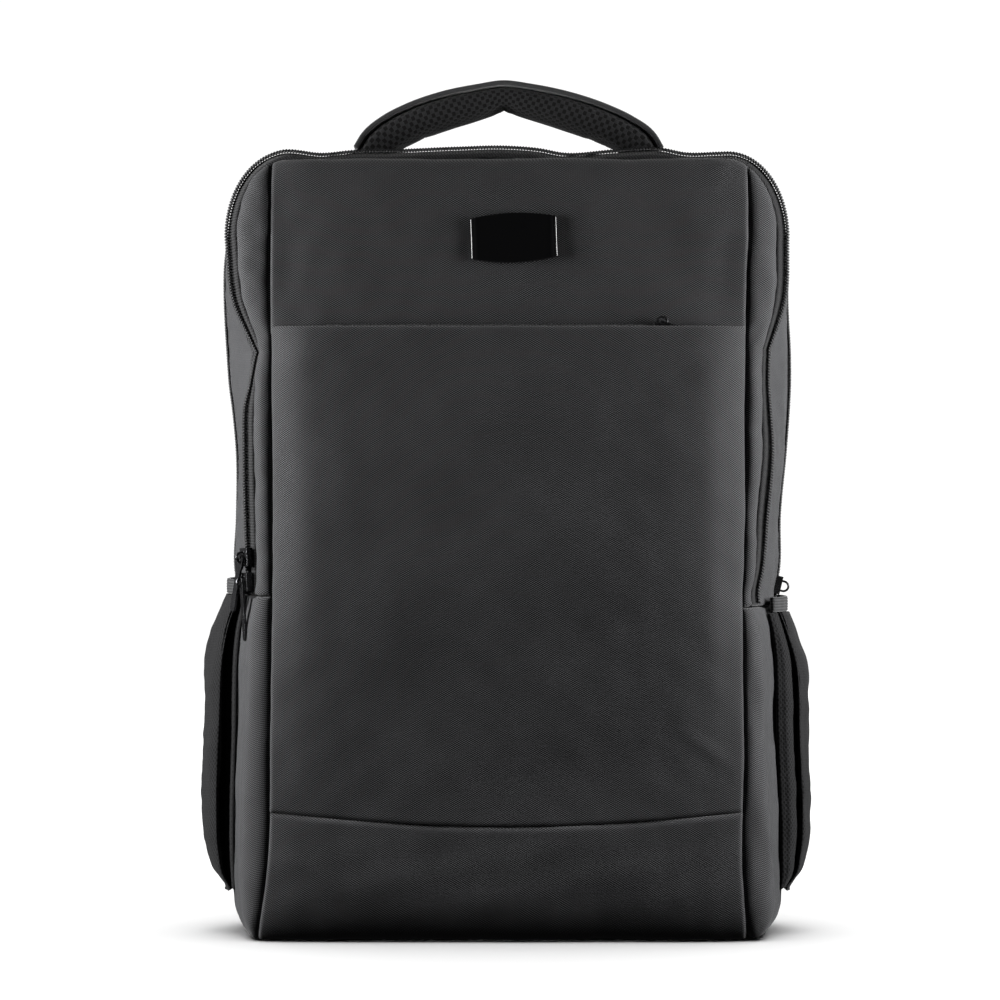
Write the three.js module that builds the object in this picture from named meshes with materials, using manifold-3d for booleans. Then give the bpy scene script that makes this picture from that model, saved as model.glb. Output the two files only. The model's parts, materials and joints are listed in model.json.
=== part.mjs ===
// Laptop backpack in millimetres: +Z is up, the front faces -Y, and the origin is on the floor
// under the middle of the base. The bag's cloth walls are sheets between named lines of its outline.
import * as THREE from "three";
import { mergeVertices } from "three/addons/utils/BufferGeometryUtils.js";
import Module from "manifold-3d";

const wasm = await Module();
wasm.setup();

// Body
const bodyHeight = 442; // floor to the top of the front zip's coil
const bodyWidth = 325; // across the rear zip, the widest line
const frontDepth = 22; // how far the front panels stand out ahead of the front zip
const tapeDepth = 9; // front to back across a zip's tape
const zipShare = 0.55; // of the front tape's depth, where its coil lies
const middleDepth = 46; // gusset between the zips
const rearDepth = 36; // gusset between the rear zip and the back panel
const backPadding = 13;
const backEdgeShare = 0.2; // the padding's thickness at its edge, as a share of the full one
const clothWall = 2;
const tapeWall = 1;
const gap = 0.3; // between any two pieces
const topCornerWidth = 31;
const topCornerHeight = 49;
const bottomCornerWidth = 25;
const bottomCornerHeight = 20;
const grooveInset = 6; // front panels' top edge below the top of the coil
const tapeInset = 2.8; // surface of the tape below the top of the coil
const gussetInset = 2.4;
const backInset = 9;
const backShare = 0.05; // the back panel's edge inward of the rear zip, as a share of the half width
const zipEndLeft = 192; // heights where the two zips stop
const zipEndRight = 186;
const acrossPower = 4; // how squarely the front rises from its edges, across and upward
const climbPower = 6;
const boxPower = 5; // how square the bag is, for the way its cloth faces

// Front panels
const pocketSeamHeight = 341.5;
const lowerSeamHeight = 72;
const lowerSeamSag = 8;
const stripTopDrop = 8; // tip of an edge strip below the top of the coil
const pocketLift = 8.6; // how far the pocket stands ahead of the panel above it
const pocketPower = 12; // how squarely it rises from its side seams
const pocketRamp = 0.6; // share of its height over which it comes forward
const tuckRise = 2; // over this height the upper panel steps back behind the pocket's top edge
const pocketOverlap = 14; // the upper panel goes on behind the pocket's top edge
const ledgeDrop = 0.8; // pocket zip's tape below the pocket's top edge, left of its slider
const ledgeSlope = 20; // degrees that the tape falls by, from its slider to the pull's tip
const ledgeHalf = 100;

// Zips: the coil's section, then the sizes of a slider and its pull
const coilWidth = 3.4;
const coilHeight = 2;
const coilTop = 0.32; // half the coil's top as a share of its width
const coilCorner = 0.5;
const pocketCoilWidth = 2.4;
const sliderLength = 10.5;
const sliderPlateTop = 3.7;
const sliderPlate = 1;
const sliderWidth = 8.4;
const pocketSliderWidth = 5.2;
const pocketSliderLength = 8;
const channelClearance = 0.5;
const bailRadius = 2.8;
const bailWire = 0.7;
const bailCentre = 5.2; // height of the bail's centre over the tape
const bailFoot = 0.4; // how far its ends go into the slider's plate
const pullThickness = 1.4;
const pullWidth = 4.6;
const leaningEye = 6.6; // eye of a pull that may hang aslant on its bail
const eyeRail = 1.1;
const eyeTaper = 2;
const crossbarHalf = 0.9;
const mainPullLength = 33;
const pocketPullLength = 20;
const upperSliderHeight = 213.4;
const lowerSliderHeight = 199.6;
const upperPullLean = 24; // degrees, toward the back beside the lower slider
const pocketSliderShare = 0.517; // its place across, as a share of the half width
const rearSliderHeight = 197;

// Name plate, handle
const plateWidth = 48;
const plateHeight = 22.5;
const plateBow = 2.6; // how far its long edges bow out
const plateThickness = 2.2;
const plateBevel = 0.6;
const plateAcross = 3.8;
const plateShare = 0.52; // its centre on the way up from the pocket's seam to the panel's top
const plateTurn = 2; // degrees
const handleSpan = 147;
const handleRise = 40.5;
const handleDepth = 31;
const handleBehindZip = 31; // middle of the handle behind the front zip's coil
const gripCorner = 4;
const coverThickness = 3.6;
const coverDepth = 29;
const coverCorner = 1.6;

// Side pockets
const pocketWall = 1.4;
const pocketBulge = 16;
const pocketBottom = 26;
const bandHeight = 8.4;
const bandThickness = 2;
const bandStand = 7.2; // how far the band stands off the pinched side
const bandTuck = 0.03; // share of the band's length that is sewn in at each end
const pocketFrontInset = 6; // pocket's front and back seams from the tape and from the back panel
const pocketRearInset = 8;

// Shoulder straps
const strapPad = 10;
const strapCorner = 3;
const strapWidth = 60;
const strapTaper = 0.75; // share of its length where it starts to narrow to the adjuster
const strapBow = 24; // how far the pads bow out behind the back panel
const strapBowPower = 0.8; // under 1 puts the most of the bow nearer the top
const strapBowEnd = 0.86; // share of a half wave that the bow runs through
const strapTop = 418;
const strapEnd = 158;
const strapTopShare = 0.271; // places across, as shares of the half width
const strapEndShare = 0.54;
const webbingWidth = 25;
const webbingThickness = 1.6;
const webbingCorner = 0.3;
const adjusterWidth = 38;
const adjusterHeight = 30;
const adjusterThickness = 5;
const adjusterBar = 4;
const anchorWidth = 40;
const anchorHeight = 34;
const anchorThickness = 2.4;
const anchorShare = 0.69;
const anchorBase = 30;

// Offsets of each line of the bag inward from its half width, as shares of it, by height as a
// share of the body's height. groove: the front panels' edge; zip: the front tape under its coil;
// side: the rear zip; seam: between the centre panels and the edge strips.
const named = (names, row) => Object.fromEntries(names.map((name, i) => [name, row[i]]));
const outlineNames = ["height", "zipLeft", "zipRight", "grooveLeft", "grooveRight"];
outlineNames.push("sideLeft", "sideRight", "seamLeft", "seamRight");
const outlineRows = [
  [0.0, 0.08, 0.07, 0.09, 0.08, 0.045, 0.045, 0.142, 0.176],
  [0.1, 0.071, 0.074, 0.08, 0.083, 0.032, 0.03, 0.18, 0.194],
  [0.255, 0.081, 0.095, 0.09, 0.107, 0.032, 0.032, 0.187, 0.185],
  [0.39, 0.102, 0.115, 0.111, 0.128, 0.034, 0.036, 0.19, 0.187],
  [0.415, 0.112, 0.133, 0.122, 0.148, 0.055, 0.07, 0.19, 0.187],
  [0.435, 0.119, 0.146, 0.13, 0.163, 0.075, 0.07, 0.19, 0.187],
  [0.452, 0.116, 0.138, 0.132, 0.156, 0.065, 0.045, 0.19, 0.186],
  [0.468, 0.112, 0.125, 0.135, 0.144, 0.036, 0.036, 0.19, 0.184],
  [0.483, 0.11, 0.119, 0.137, 0.138, 0.034, 0.036, 0.19, 0.183],
  [0.533, 0.104, 0.109, 0.134, 0.138, 0.043, 0.036, 0.19, 0.18],
  [0.622, 0.1, 0.091, 0.128, 0.118, 0.043, 0.014, 0.19, 0.18],
  [0.673, 0.103, 0.1, 0.128, 0.12, 0.029, 0.004, 0.19, 0.18],
  [0.704, 0.122, 0.105, 0.13, 0.121, 0.018, 0.0, 0.19, 0.18],
  [0.739, 0.129, 0.1, 0.138, 0.114, 0.011, 0.0, 0.19, 0.18],
  [0.812, 0.06, 0.047, 0.087, 0.076, 0.0, 0.011, 0.19, 0.18],
  [0.888, 0.04, 0.04, 0.068, 0.07, 0.0, 0.007, 0.19, 0.173],
].map((row) => named(outlineNames, row));

// The handle from its left leg to its right: along is a share of the half span, rise a share of
// the rise over the gusset, thick in millimetres across the arch.
const handleRows = [
  { along: -1.02, rise: 0.0, thick: 19.5 },
  { along: -0.955, rise: 0.18, thick: 20.5 },
  { along: -0.845, rise: 0.345, thick: 20.5 },
  { along: -0.7, rise: 0.5, thick: 19.8 },
  { along: -0.45, rise: 0.67, thick: 19.3 },
  { along: -0.2, rise: 0.79, thick: 17.5 },
  { along: -0.03, rise: 0.868, thick: 14.8 },
  { along: 0.17, rise: 0.8, thick: 17 },
  { along: 0.45, rise: 0.66, thick: 19.3 },
  { along: 0.7, rise: 0.49, thick: 19.8 },
  { along: 0.85, rise: 0.33, thick: 20.5 },
  { along: 0.955, rise: 0.17, thick: 20.5 },
  { along: 1.01, rise: 0.0, thick: 20 },
];

// A side pocket's cloth from its front seam to its rear one: depth is a share of the way back,
// out a share of the bulge. The valley and the ridge behind the front seam make its pleat.
const pocketPleat = [
  { depth: 0.0, out: 0.0 },
  { depth: 0.1, out: 0.16 },
  { depth: 0.13, out: 0.34 },
  { depth: 0.09, out: 0.55 },
  { depth: 0.16, out: 0.78 },
  { depth: 0.32, out: 0.96 },
  { depth: 0.52, out: 1.0 },
  { depth: 0.75, out: 0.86 },
  { depth: 0.93, out: 0.5 },
  { depth: 1.0, out: 0.0 },
];

// How far the pocket stands out at each height, as shares of its height and its bulge.
const pocketRows = [
  { height: 0.0, out: 0.12 },
  { height: 0.08, out: 0.5 },
  { height: 0.2, out: 0.86 },
  { height: 0.38, out: 1.0 },
  { height: 0.7, out: 0.98 },
  { height: 0.86, out: 0.78 },
  { height: 1.0, out: 0.43 },
];

// Lengths that follow from those above
const halfWidth = bodyWidth / 2;
const totalDepth = frontDepth + 2 * tapeDepth + middleDepth + rearDepth + backPadding;
const grooveY = frontDepth - totalDepth / 2;
const zipY = grooveY + zipShare * tapeDepth;
const gussetY = grooveY + tapeDepth;
const rearZipY = gussetY + middleDepth;
const rearGussetY = rearZipY + tapeDepth;
const rearCoilY = (rearZipY + rearGussetY) / 2;
const backY = rearGussetY + rearDepth;
const backFaceY = backY + gap + backPadding;
const topCornerStart = bodyHeight - topCornerHeight;
const panelTop = bodyHeight - grooveInset - gap;
const topFlat = halfWidth - topCornerWidth;
const bottomFlat = halfWidth - bottomCornerWidth;
const pocketSliderAcross = pocketSliderShare * halfWidth;
const plateCentreHeight = pocketSeamHeight + plateShare * (panelTop - pocketSeamHeight);
const strapTopAcross = strapTopShare * halfWidth;
const strapEndAcross = strapEndShare * halfWidth;
const anchorAcross = anchorShare * halfWidth;

const { lerp, degToRad, clamp } = THREE.MathUtils;
const smooth = (f) => f * f * (3 - 2 * f);
const vec = (x, y, z) => new THREE.Vector3(x, y, z);
// Flat in the middle and falling to nothing at 0 and 1, the more sharply the higher the power.
const dome = (f, power) => Math.pow(Math.max(0, 1 - Math.pow(Math.abs(2 * f - 1), power)), 1 / power);

// A column of a table at a value of its key column, eased between rows.
function read(rows, key, column, at) {
  const last = rows.length - 1;
  if (at <= rows[0][key]) return rows[0][column];
  if (at >= rows[last][key]) return rows[last][column];
  const i = rows.findIndex((row) => row[key] > at);
  const f = (at - rows[i - 1][key]) / (rows[i][key] - rows[i - 1][key]);
  return lerp(rows[i - 1][column], rows[i][column], smooth(f));
}

// Lines of the outline: where the cloth lies at each depth, as a blend of two table columns.
function lineAt(y) {
  const pick = (from, to, blend, insetFrom, insetTo) => {
    return { from, to, blend, inset: lerp(insetFrom, insetTo, blend) };
  };
  if (y <= zipY) {
    return pick("groove", "zip", (y - grooveY) / (zipY - grooveY), grooveInset, tapeInset);
  }
  if (y <= rearZipY) {
    const blend = Math.sin(((y - zipY) / (rearZipY - zipY)) * (Math.PI / 2));
    return pick("zip", "side", blend, tapeInset, gussetInset);
  }
  const f = clamp((y - rearGussetY) / (backY - rearGussetY), 0, 1);
  return pick("side", "back", 1 - Math.cos(f * (Math.PI / 2)), gussetInset, backInset);
}

function straightHalf(line, side, z) {
  const suffix = side < 0 ? "Left" : "Right";
  const column = (name) => read(outlineRows, "height", name + suffix, z / bodyHeight);
  const share = (name) => (name === "back" ? column("side") + backShare : column(name));
  return halfWidth * (1 - lerp(share(line.from), share(line.to), line.blend));
}

// Half width of a line at any height, rounded at the top and bottom corners.
function halfAt(line, side, z) {
  const half = straightHalf(line, side, clamp(z, bottomCornerHeight, topCornerStart));
  if (z > topCornerStart) {
    const turn = Math.min(1, (z - topCornerStart) / (bodyHeight - line.inset - topCornerStart));
    return topFlat + (half - topFlat) * Math.sqrt(1 - turn * turn);
  }
  if (z < bottomCornerHeight) {
    const turn = (bottomCornerHeight - z) / bottomCornerHeight;
    return bottomFlat + (half - bottomFlat) * Math.sqrt(Math.max(0, 1 - turn * turn));
  }
  return half;
}

const zipEnd = (side) => (side < 0 ? zipEndLeft : zipEndRight);
const sidePoint = (side, z, y) => vec(side * halfAt(lineAt(y), side, z), y, z);

// A point on the flat facets between the heights and depths at which the side's cloth is built.
function facetPoint(side, z, y, heights, depths) {
  const cell = (list, value) => {
    const last = list.length - 2;
    const i = clamp(list.findIndex((item) => item > value) - 1, 0, last);
    return [i, (value - list[i]) / (list[i + 1] - list[i])];
  };
  const [row, climb] = cell(heights, clamp(z, heights[0], heights[heights.length - 1] - 0.01));
  const [column, back] = cell(depths, clamp(y, depths[0], depths[depths.length - 1] - 0.01));
  const corner = (i, j) => sidePoint(side, heights[row + i], depths[column + j]);
  const low = corner(0, 0).lerp(corner(0, 1), back);
  const high = corner(1, 0).lerp(corner(1, 1), back);
  return low.lerp(high, climb);
}

function seamAt(side, z) {
  const share = read(outlineRows, "height", side < 0 ? "seamLeft" : "seamRight", z / bodyHeight);
  return side * halfWidth * (1 - share);
}

// Steps along the arch of the zips, from the left end over the top to the right end.
const sideSteps = 9;
const cornerSteps = 4;
const topSteps = 6;
const arch = [];
for (let i = 0; i < sideSteps; i++) arch.push({ side: -1, climb: i / sideSteps });
for (let i = 0; i < cornerSteps; i++) arch.push({ side: -1, turn: i / cornerSteps });
for (let i = 0; i <= topSteps; i++) arch.push({ side: 0, across: (2 * i) / topSteps - 1 });
for (let i = cornerSteps - 1; i >= 0; i--) arch.push({ side: 1, turn: i / cornerSteps });
for (let i = sideSteps - 1; i >= 0; i--) arch.push({ side: 1, climb: i / sideSteps });

function archPoint(step, y) {
  const line = lineAt(y);
  const top = bodyHeight - line.inset;
  if (step.side === 0) return vec(step.across * topFlat, y, top);
  if (step.climb !== undefined) {
    return sidePoint(step.side, lerp(zipEnd(step.side) + gap / 2, topCornerStart, step.climb), y);
  }
  const turn = (step.turn * Math.PI) / 2;
  const reach = straightHalf(line, step.side, topCornerStart) - topFlat;
  const x = topFlat + reach * Math.cos(turn);
  return vec(step.side * x, y, lerp(topCornerStart, top, Math.sin(turn)));
}

// The front's cloth: a dome ahead of the groove, with the pocket standing ahead of it.
function frontY(x, z) {
  const left = halfAt(lineAt(grooveY), -1, z) - gap;
  const right = halfAt(lineAt(grooveY), 1, z) - gap;
  const across = clamp((x + left) / (left + right), 0, 1);
  const climb = clamp((z - gap / 2) / (panelTop - gap / 2), 0, 1);
  return grooveY - frontDepth * dome(across, acrossPower) * dome(climb, climbPower);
}

function liftAt(x, z) {
  const across = (x - seamAt(-1, z)) / (seamAt(1, z) - seamAt(-1, z));
  const climb = clamp((z - lowerSeamHeight) / (pocketSeamHeight - lowerSeamHeight), 0, 1);
  const inside = 1 - Math.pow(Math.abs(2 * across - 1), pocketPower);
  return pocketLift * inside * smooth(Math.min(1, climb / pocketRamp));
}

// Which way is out of the bag at a point of its cloth, from a rounded box of its size.
function outward(p) {
  const halfDepth = (backY - grooveY + frontDepth) / 2;
  const term = (value, half) => (Math.sign(value) * Math.pow(Math.abs(value / half), boxPower)) / half;
  const across = term(p.x, halfWidth);
  const back = term(p.y - (backY - halfDepth), halfDepth);
  return vec(across, back, term(p.z - bodyHeight / 2, bodyHeight / 2)).normalize();
}

// A closed mesh from its points and triangles, turned to face out.
function closed(points, triangles) {
  let volume = 0;
  for (let i = 0; i < triangles.length; i += 3) {
    const [a, b, c] = [points[triangles[i]], points[triangles[i + 1]], points[triangles[i + 2]]];
    volume += a.dot(b.clone().cross(c));
  }
  if (volume < 0) triangles.reverse();
  const geometry = new THREE.BufferGeometry().setFromPoints(points);
  geometry.setIndex(triangles);
  return geometry;
}

// A sheet of cloth: rows of points on its outer face, the same rows on its inner face, and a rim.
function sheet(outerRows, innerRows) {
  const rows = outerRows.length;
  const columns = outerRows[0].length;
  const points = [...outerRows.flat(), ...innerRows.flat()];
  const triangles = [];
  const inner = rows * columns;
  const quad = (a, b, c, d) => triangles.push(a, b, c, a, c, d);
  for (let r = 0; r < rows - 1; r++)
    for (let c = 0; c < columns - 1; c++) {
      const at = r * columns + c;
      quad(at, at + 1, at + columns + 1, at + columns);
      quad(inner + at + columns, inner + at + columns + 1, inner + at + 1, inner + at);
    }
  const rim = [];
  for (let c = 0; c < columns - 1; c++) rim.push(c);
  for (let r = 0; r < rows - 1; r++) rim.push(r * columns + columns - 1);
  for (let c = columns - 1; c > 0; c--) rim.push((rows - 1) * columns + c);
  for (let r = rows - 1; r > 0; r--) rim.push(r * columns);
  rim.forEach((a, i) => {
    const b = rim[(i + 1) % rim.length];
    quad(b, a, inner + a, inner + b);
  });
  return closed(points, triangles);
}

const spread = (count, at) => Array.from({ length: count + 1 }, (_, i) => at(i / count));
const grid = (rows, columns, at) => spread(rows, (v) => spread(columns, (u) => at(u, v)));
const behind = (row, wall) => row.map((p) => p.clone().addScaledVector(outward(p), -wall));
const clothSheet = (rows, wall = clothWall) => sheet(rows, rows.map((row) => behind(row, wall)));

// Rings of points joined in order, with a flat cap at each end.
function loft(rings) {
  const sides = rings[0].length;
  const points = rings.flat();
  const triangles = [];
  for (let r = 0; r < rings.length - 1; r++)
    for (let i = 0; i < sides; i++) {
      const a = r * sides + i;
      const b = r * sides + ((i + 1) % sides);
      triangles.push(a, b, b + sides, a, b + sides, a + sides);
    }
  const lastRing = (rings.length - 1) * sides;
  for (let i = 1; i < sides - 1; i++) {
    triangles.push(0, i + 1, i);
    triangles.push(lastRing, lastRing + i, lastRing + i + 1);
  }
  return closed(points, triangles);
}

// Corners of a section with rounded edges: half sizes along two directions round a centre.
function section(centre, across, up, halfAcross, halfUp, corner) {
  const points = [];
  for (const [sx, sy] of [[1, 1], [-1, 1], [-1, -1], [1, -1]]) {
    const cuts = [[halfAcross, halfUp - corner], [halfAcross - corner, halfUp]];
    if (sx * sy < 0) cuts.reverse();
    for (const [a, b] of cuts) {
      points.push(centre.clone().addScaledVector(across, sx * a).addScaledVector(up, sy * b));
    }
  }
  return points;
}

function solidOf(geometry) {
  const bare = geometry.index ? geometry.toNonIndexed() : geometry.clone();
  for (const name of Object.keys(bare.attributes)) if (name !== "position") bare.deleteAttribute(name);
  const merged = mergeVertices(bare, 1e-4);
  const vertProperties = merged.attributes.position.array;
  const triVerts = new Uint32Array(merged.index.array);
  return new wasm.Manifold(new wasm.Mesh({ numProp: 3, vertProperties, triVerts }));
}

function geometryOf(solid) {
  const mesh = solid.getMesh();
  const geometry = new THREE.BufferGeometry();
  geometry.setAttribute("position", new THREE.BufferAttribute(new Float32Array(mesh.vertProperties), 3));
  geometry.setIndex(new THREE.BufferAttribute(new Uint32Array(mesh.triVerts), 1));
  return geometry;
}

const finishes = {
  cloth: { color: 0x3a3b3d, roughness: 0.95, metalness: 0 },
  mesh: { color: 0x2b2c2e, roughness: 1, metalness: 0 },
  tape: { color: 0x121214, roughness: 0.9, metalness: 0 },
  coil: { color: 0x1c1c1e, roughness: 0.5, metalness: 0 },
  metal: { color: 0x26272a, roughness: 0.35, metalness: 0.9 },
  plastic: { color: 0x17181a, roughness: 0.5, metalness: 0 },
  gloss: { color: 0x050506, roughness: 0.08, metalness: 0 },
};

const backpack = new THREE.Group();

function add(name, geometry, finish, parent = backpack) {
  const mesh = new THREE.Mesh(geometry, new THREE.MeshStandardMaterial(finishes[finish]));
  mesh.name = name;
  parent.add(mesh);
  return mesh;
}

const tuckDepth = clothWall + 2 * gap;

// Centre panels of the front, between the left and right seams.
const panelHalf = (side, z) =>
  Math.min(Math.abs(seamAt(side, z)) - gap / 2, halfAt(lineAt(grooveY), side, z) - 2 * gap);
const seamX = (across, z) => lerp(-panelHalf(-1, z), panelHalf(1, z), across);
const lowerSeamAt = (across) => lowerSeamHeight - lowerSeamSag * Math.sin(Math.PI * across);

function addFrontPanels() {
  const stepped = pocketSeamHeight + tuckRise;
  const upperHeights = [pocketSeamHeight - pocketOverlap, pocketSeamHeight, stepped];
  upperHeights.push(...spread(6, (v) => lerp(stepped, panelTop, Math.sin((v * Math.PI) / 2))).slice(1));
  const upper = upperHeights.map((z) =>
    spread(12, (u) => {
      const x = seamX(u, z);
      return vec(x, frontY(x, z) + (z < stepped ? tuckDepth : 0), z);
    }),
  );
  add("front_upper_panel", clothSheet(upper), "cloth");
  const pocket = grid(9, 14, (u, v) => {
    const across = 0.5 - 0.5 * Math.cos(u * Math.PI);
    const z = lerp(lowerSeamAt(across) + gap / 2, pocketSeamHeight, v);
    const x = seamX(across, z);
    return vec(x, frontY(x, z) - liftAt(x, z), z);
  });
  add("front_pocket_panel", clothSheet(pocket), "cloth");
  const lower = grid(6, 12, (u, v) => {
    const z = lerp(lowerSeamAt(u) - gap / 2, gap / 2, Math.sin((v * Math.PI) / 2));
    const x = seamX(u, z);
    return vec(x, frontY(x, z), z);
  });
  add("front_lower_panel", clothSheet(lower), "cloth");
}

// The edge strips fill the front between the seams and the groove, above the zips' ends.
function addFrontStrip(side, name) {
  const tip = bodyHeight - stripTopDrop;
  const rows = grid(9, 4, (u, v) => {
    const z = lerp(zipEnd(side) + gap / 2, tip, v);
    const edge = halfAt(lineAt(grooveY), side, z) - gap;
    const x = side * lerp(Math.abs(seamAt(side, z)) + gap, edge, Math.sin((u * Math.PI) / 2));
    return vec(x, frontY(x, z), z);
  });
  add(name, clothSheet(rows), "cloth");
}

// A side panel goes from the front's seam round the side to the back panel, below the zips' end.
const panelDepths = [
  grooveY,
  zipY,
  lerp(zipY, rearZipY, 0.3),
  lerp(zipY, rearZipY, 0.65),
  rearZipY,
  rearGussetY,
  lerp(rearGussetY, backY, 0.6),
  backY,
];
const panelHeights = (side) => [
  ...spread(4, (f) => Math.max(gap / 2, bottomCornerHeight * (1 - Math.cos((f * Math.PI) / 2)))),
  ...[0.2, 0.4, 0.6, 0.8, 0.92, 1].map((f) => lerp(bottomCornerHeight, zipEnd(side) - gap / 2, f)),
];

function addSidePanel(side, name) {
  const rows = panelHeights(side).map((z) => {
    const seam = Math.abs(seamAt(side, z)) + gap;
    const groove = halfAt(lineAt(grooveY), side, z);
    const front = [0, 0.4, 0.75].map((f) => {
      const x = side * lerp(seam, groove, f);
      return vec(x, frontY(x, z), z);
    });
    return [...front, ...panelDepths.map((y) => sidePoint(side, z, y))];
  });
  add(name, clothSheet(rows), "cloth");
}

function addBottomPanel() {
  const rows = grid(2, 1, (u, v) => {
    const y = lerp(grooveY + gap, backY - gap, v);
    const left = halfAt(lineAt(y), -1, gap / 2) - gap;
    const right = halfAt(lineAt(y), 1, gap / 2) - gap;
    return vec(lerp(-left, right, u), y, 0);
  });
  add("bottom_panel", clothSheet(rows), "cloth");
}

// Arched pieces: zip tapes, the coils that stand on them, and the gussets.
function addArchSheet(name, from, to, steps, wall, finish) {
  const rows = spread(steps, (v) => {
    const y = lerp(from + gap / 2, to - gap / 2, v);
    return arch.map((step) => archPoint(step, y));
  });
  add(name, clothSheet(rows, wall), finish);
}

function addArchCoil(name, y, width, height) {
  const rings = arch.map((step) => {
    const centre = archPoint(step, y);
    const across = archPoint(step, y + 1).sub(archPoint(step, y - 1)).normalize();
    const up = outward(centre);
    up.addScaledVector(across, -up.dot(across)).normalize();
    centre.addScaledVector(up, gap + height / 2);
    return [[-0.5, -0.5], [0.5, -0.5], [coilTop, 0.5], [-coilTop, 0.5]].map(([a, b]) =>
      centre.clone().addScaledVector(across, a * width).addScaledVector(up, b * height),
    );
  });
  add(name, loft(rings), "coil");
}

// Padded back panel: flat inside, domed outside, on the outline of the rear gusset's edge.
const backHeights = (v) => {
  const top = bodyHeight - backInset;
  if (v < 0.25) return bottomCornerHeight * (1 - Math.cos(v * 2 * Math.PI));
  if (v > 0.75) return lerp(topCornerStart, top, Math.sin((v - 0.75) * 2 * Math.PI));
  return lerp(bottomCornerHeight, topCornerStart, (v - 0.25) * 2);
};

function addBackPanel() {
  const edge = lineAt(backY);
  const point = (u, v, bulge) => {
    const z = Math.max(gap / 2, backHeights(v));
    const x = lerp(-halfAt(edge, -1, z), halfAt(edge, 1, z), u);
    const across = clamp(u, 0, 1);
    const climb = z / (bodyHeight - backInset);
    const rise = lerp(backEdgeShare, 1, dome(across, climbPower) * dome(climb, climbPower));
    return vec(x, backY + gap + bulge * rise, z);
  };
  const outer = grid(12, 10, (u, v) => point(u, v, backPadding));
  const inner = grid(12, 10, (u, v) => point(u, v, 0));
  add("back_panel", sheet(outer, inner), "mesh");
}

// Carry handle: a pad that arches over the middle gusset, with a smooth strip along its top.
const handleBase = bodyHeight - gussetInset + gap;
const handleY = zipY + handleBehindZip;

function handleCentre(row) {
  return vec((row.along * handleSpan) / 2, handleY, handleBase + row.rise * handleRise);
}

function addHandle() {
  const rings = handleRows.map((row, i) => {
    const before = handleCentre(handleRows[Math.max(0, i - 1)]);
    const after = handleCentre(handleRows[Math.min(handleRows.length - 1, i + 1)]);
    const ending = i === 0 || i === handleRows.length - 1;
    const along = after.sub(before).normalize();
    const up = ending ? vec(Math.sign(row.along), 0, 0) : vec(-along.z, 0, along.x);
    return { centre: handleCentre(row), up, thick: row.thick };
  });
  const depth = vec(0, 1, 0);
  const part = (low, high, halfDepth, corner) =>
    rings.map(({ centre, up, thick }) => {
      const bottom = low(thick);
      const top = high(thick);
      const middle = centre.clone().addScaledVector(up, (bottom + top) / 2);
      return section(middle, depth, up, halfDepth, (top - bottom) / 2, corner);
    });
  const under = (thick) => thick / 2 - coverThickness;
  const gripTop = (thick) => under(thick) - gap;
  const grip = part((thick) => -thick / 2, gripTop, handleDepth / 2, gripCorner);
  const cover = part(under, (thick) => thick / 2, coverDepth / 2, coverCorner);
  add("handle_grip", loft(grip), "mesh");
  add("handle_cover", loft(cover), "cloth");
}

// Glossy plate: its long edges bow out, and its front is flat inside a small bevel.
function addNamePlate() {
  const halfW = plateWidth / 2;
  const halfH = plateHeight / 2;
  const flatW = halfW - plateBevel;
  const flatH = halfH - plateBevel;
  const outline = new THREE.Shape();
  outline.moveTo(-flatW, -flatH);
  outline.quadraticCurveTo(0, -flatH - 2 * plateBow, flatW, -flatH);
  outline.lineTo(flatW, flatH);
  outline.quadraticCurveTo(0, flatH + 2 * plateBow, -flatW, flatH);
  const bevel = { bevelThickness: plateBevel, bevelSize: plateBevel, bevelSegments: 1 };
  const depth = plateThickness - plateBevel;
  const plate = new THREE.ExtrudeGeometry(outline, { depth, curveSegments: 6, ...bevel });
  plate.translate(0, 0, plateBevel);
  const base = solidOf(plate).trimByPlane([0, 0, 1], plateBevel);
  const mesh = add("name_plate", geometryOf(base), "gloss");
  let seat = Infinity;
  for (const sx of [-1, 0, 1])
    for (const sz of [-1, 0, 1]) {
      const z = plateCentreHeight + sz * (halfH + plateBow);
      seat = Math.min(seat, frontY(plateAcross + sx * halfW, z));
    }
  mesh.rotation.x = Math.PI / 2;
  mesh.rotateZ(degToRad(plateTurn));
  mesh.position.set(plateAcross, seat - gap + plateBevel, plateCentreHeight);
}

// A zip slider in its own frame: X across the tape, Y along the coil, Z out of the tape.
function sliderGeometry(width, length, channel) {
  const body = new THREE.BoxGeometry(width, length, sliderPlateTop - gap);
  body.translate(0, 0, (sliderPlateTop + gap) / 2);
  const cut = new THREE.BoxGeometry(channel, length * 2, sliderPlateTop - sliderPlate + 1);
  cut.translate(0, 0, (sliderPlateTop - sliderPlate - 1) / 2);
  const wire = new THREE.Shape().absarc(0, 0, bailWire, 0, 2 * Math.PI);
  const path = new THREE.CurvePath();
  const foot = sliderPlateTop - bailFoot;
  path.add(new THREE.LineCurve3(vec(0, -bailRadius, foot), vec(0, -bailRadius, bailCentre)));
  const arc = spread(8, (f) => {
    const angle = f * Math.PI;
    return vec(0, -bailRadius * Math.cos(angle), bailCentre + bailRadius * Math.sin(angle));
  });
  path.add(new THREE.CatmullRomCurve3(arc));
  path.add(new THREE.LineCurve3(vec(0, bailRadius, bailCentre), vec(0, bailRadius, foot)));
  const bail = new THREE.ExtrudeGeometry(wire, { steps: 14, curveSegments: 3, extrudePath: path });
  return geometryOf(solidOf(body).subtract(solidOf(cut)).add(solidOf(bail)));
}

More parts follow.
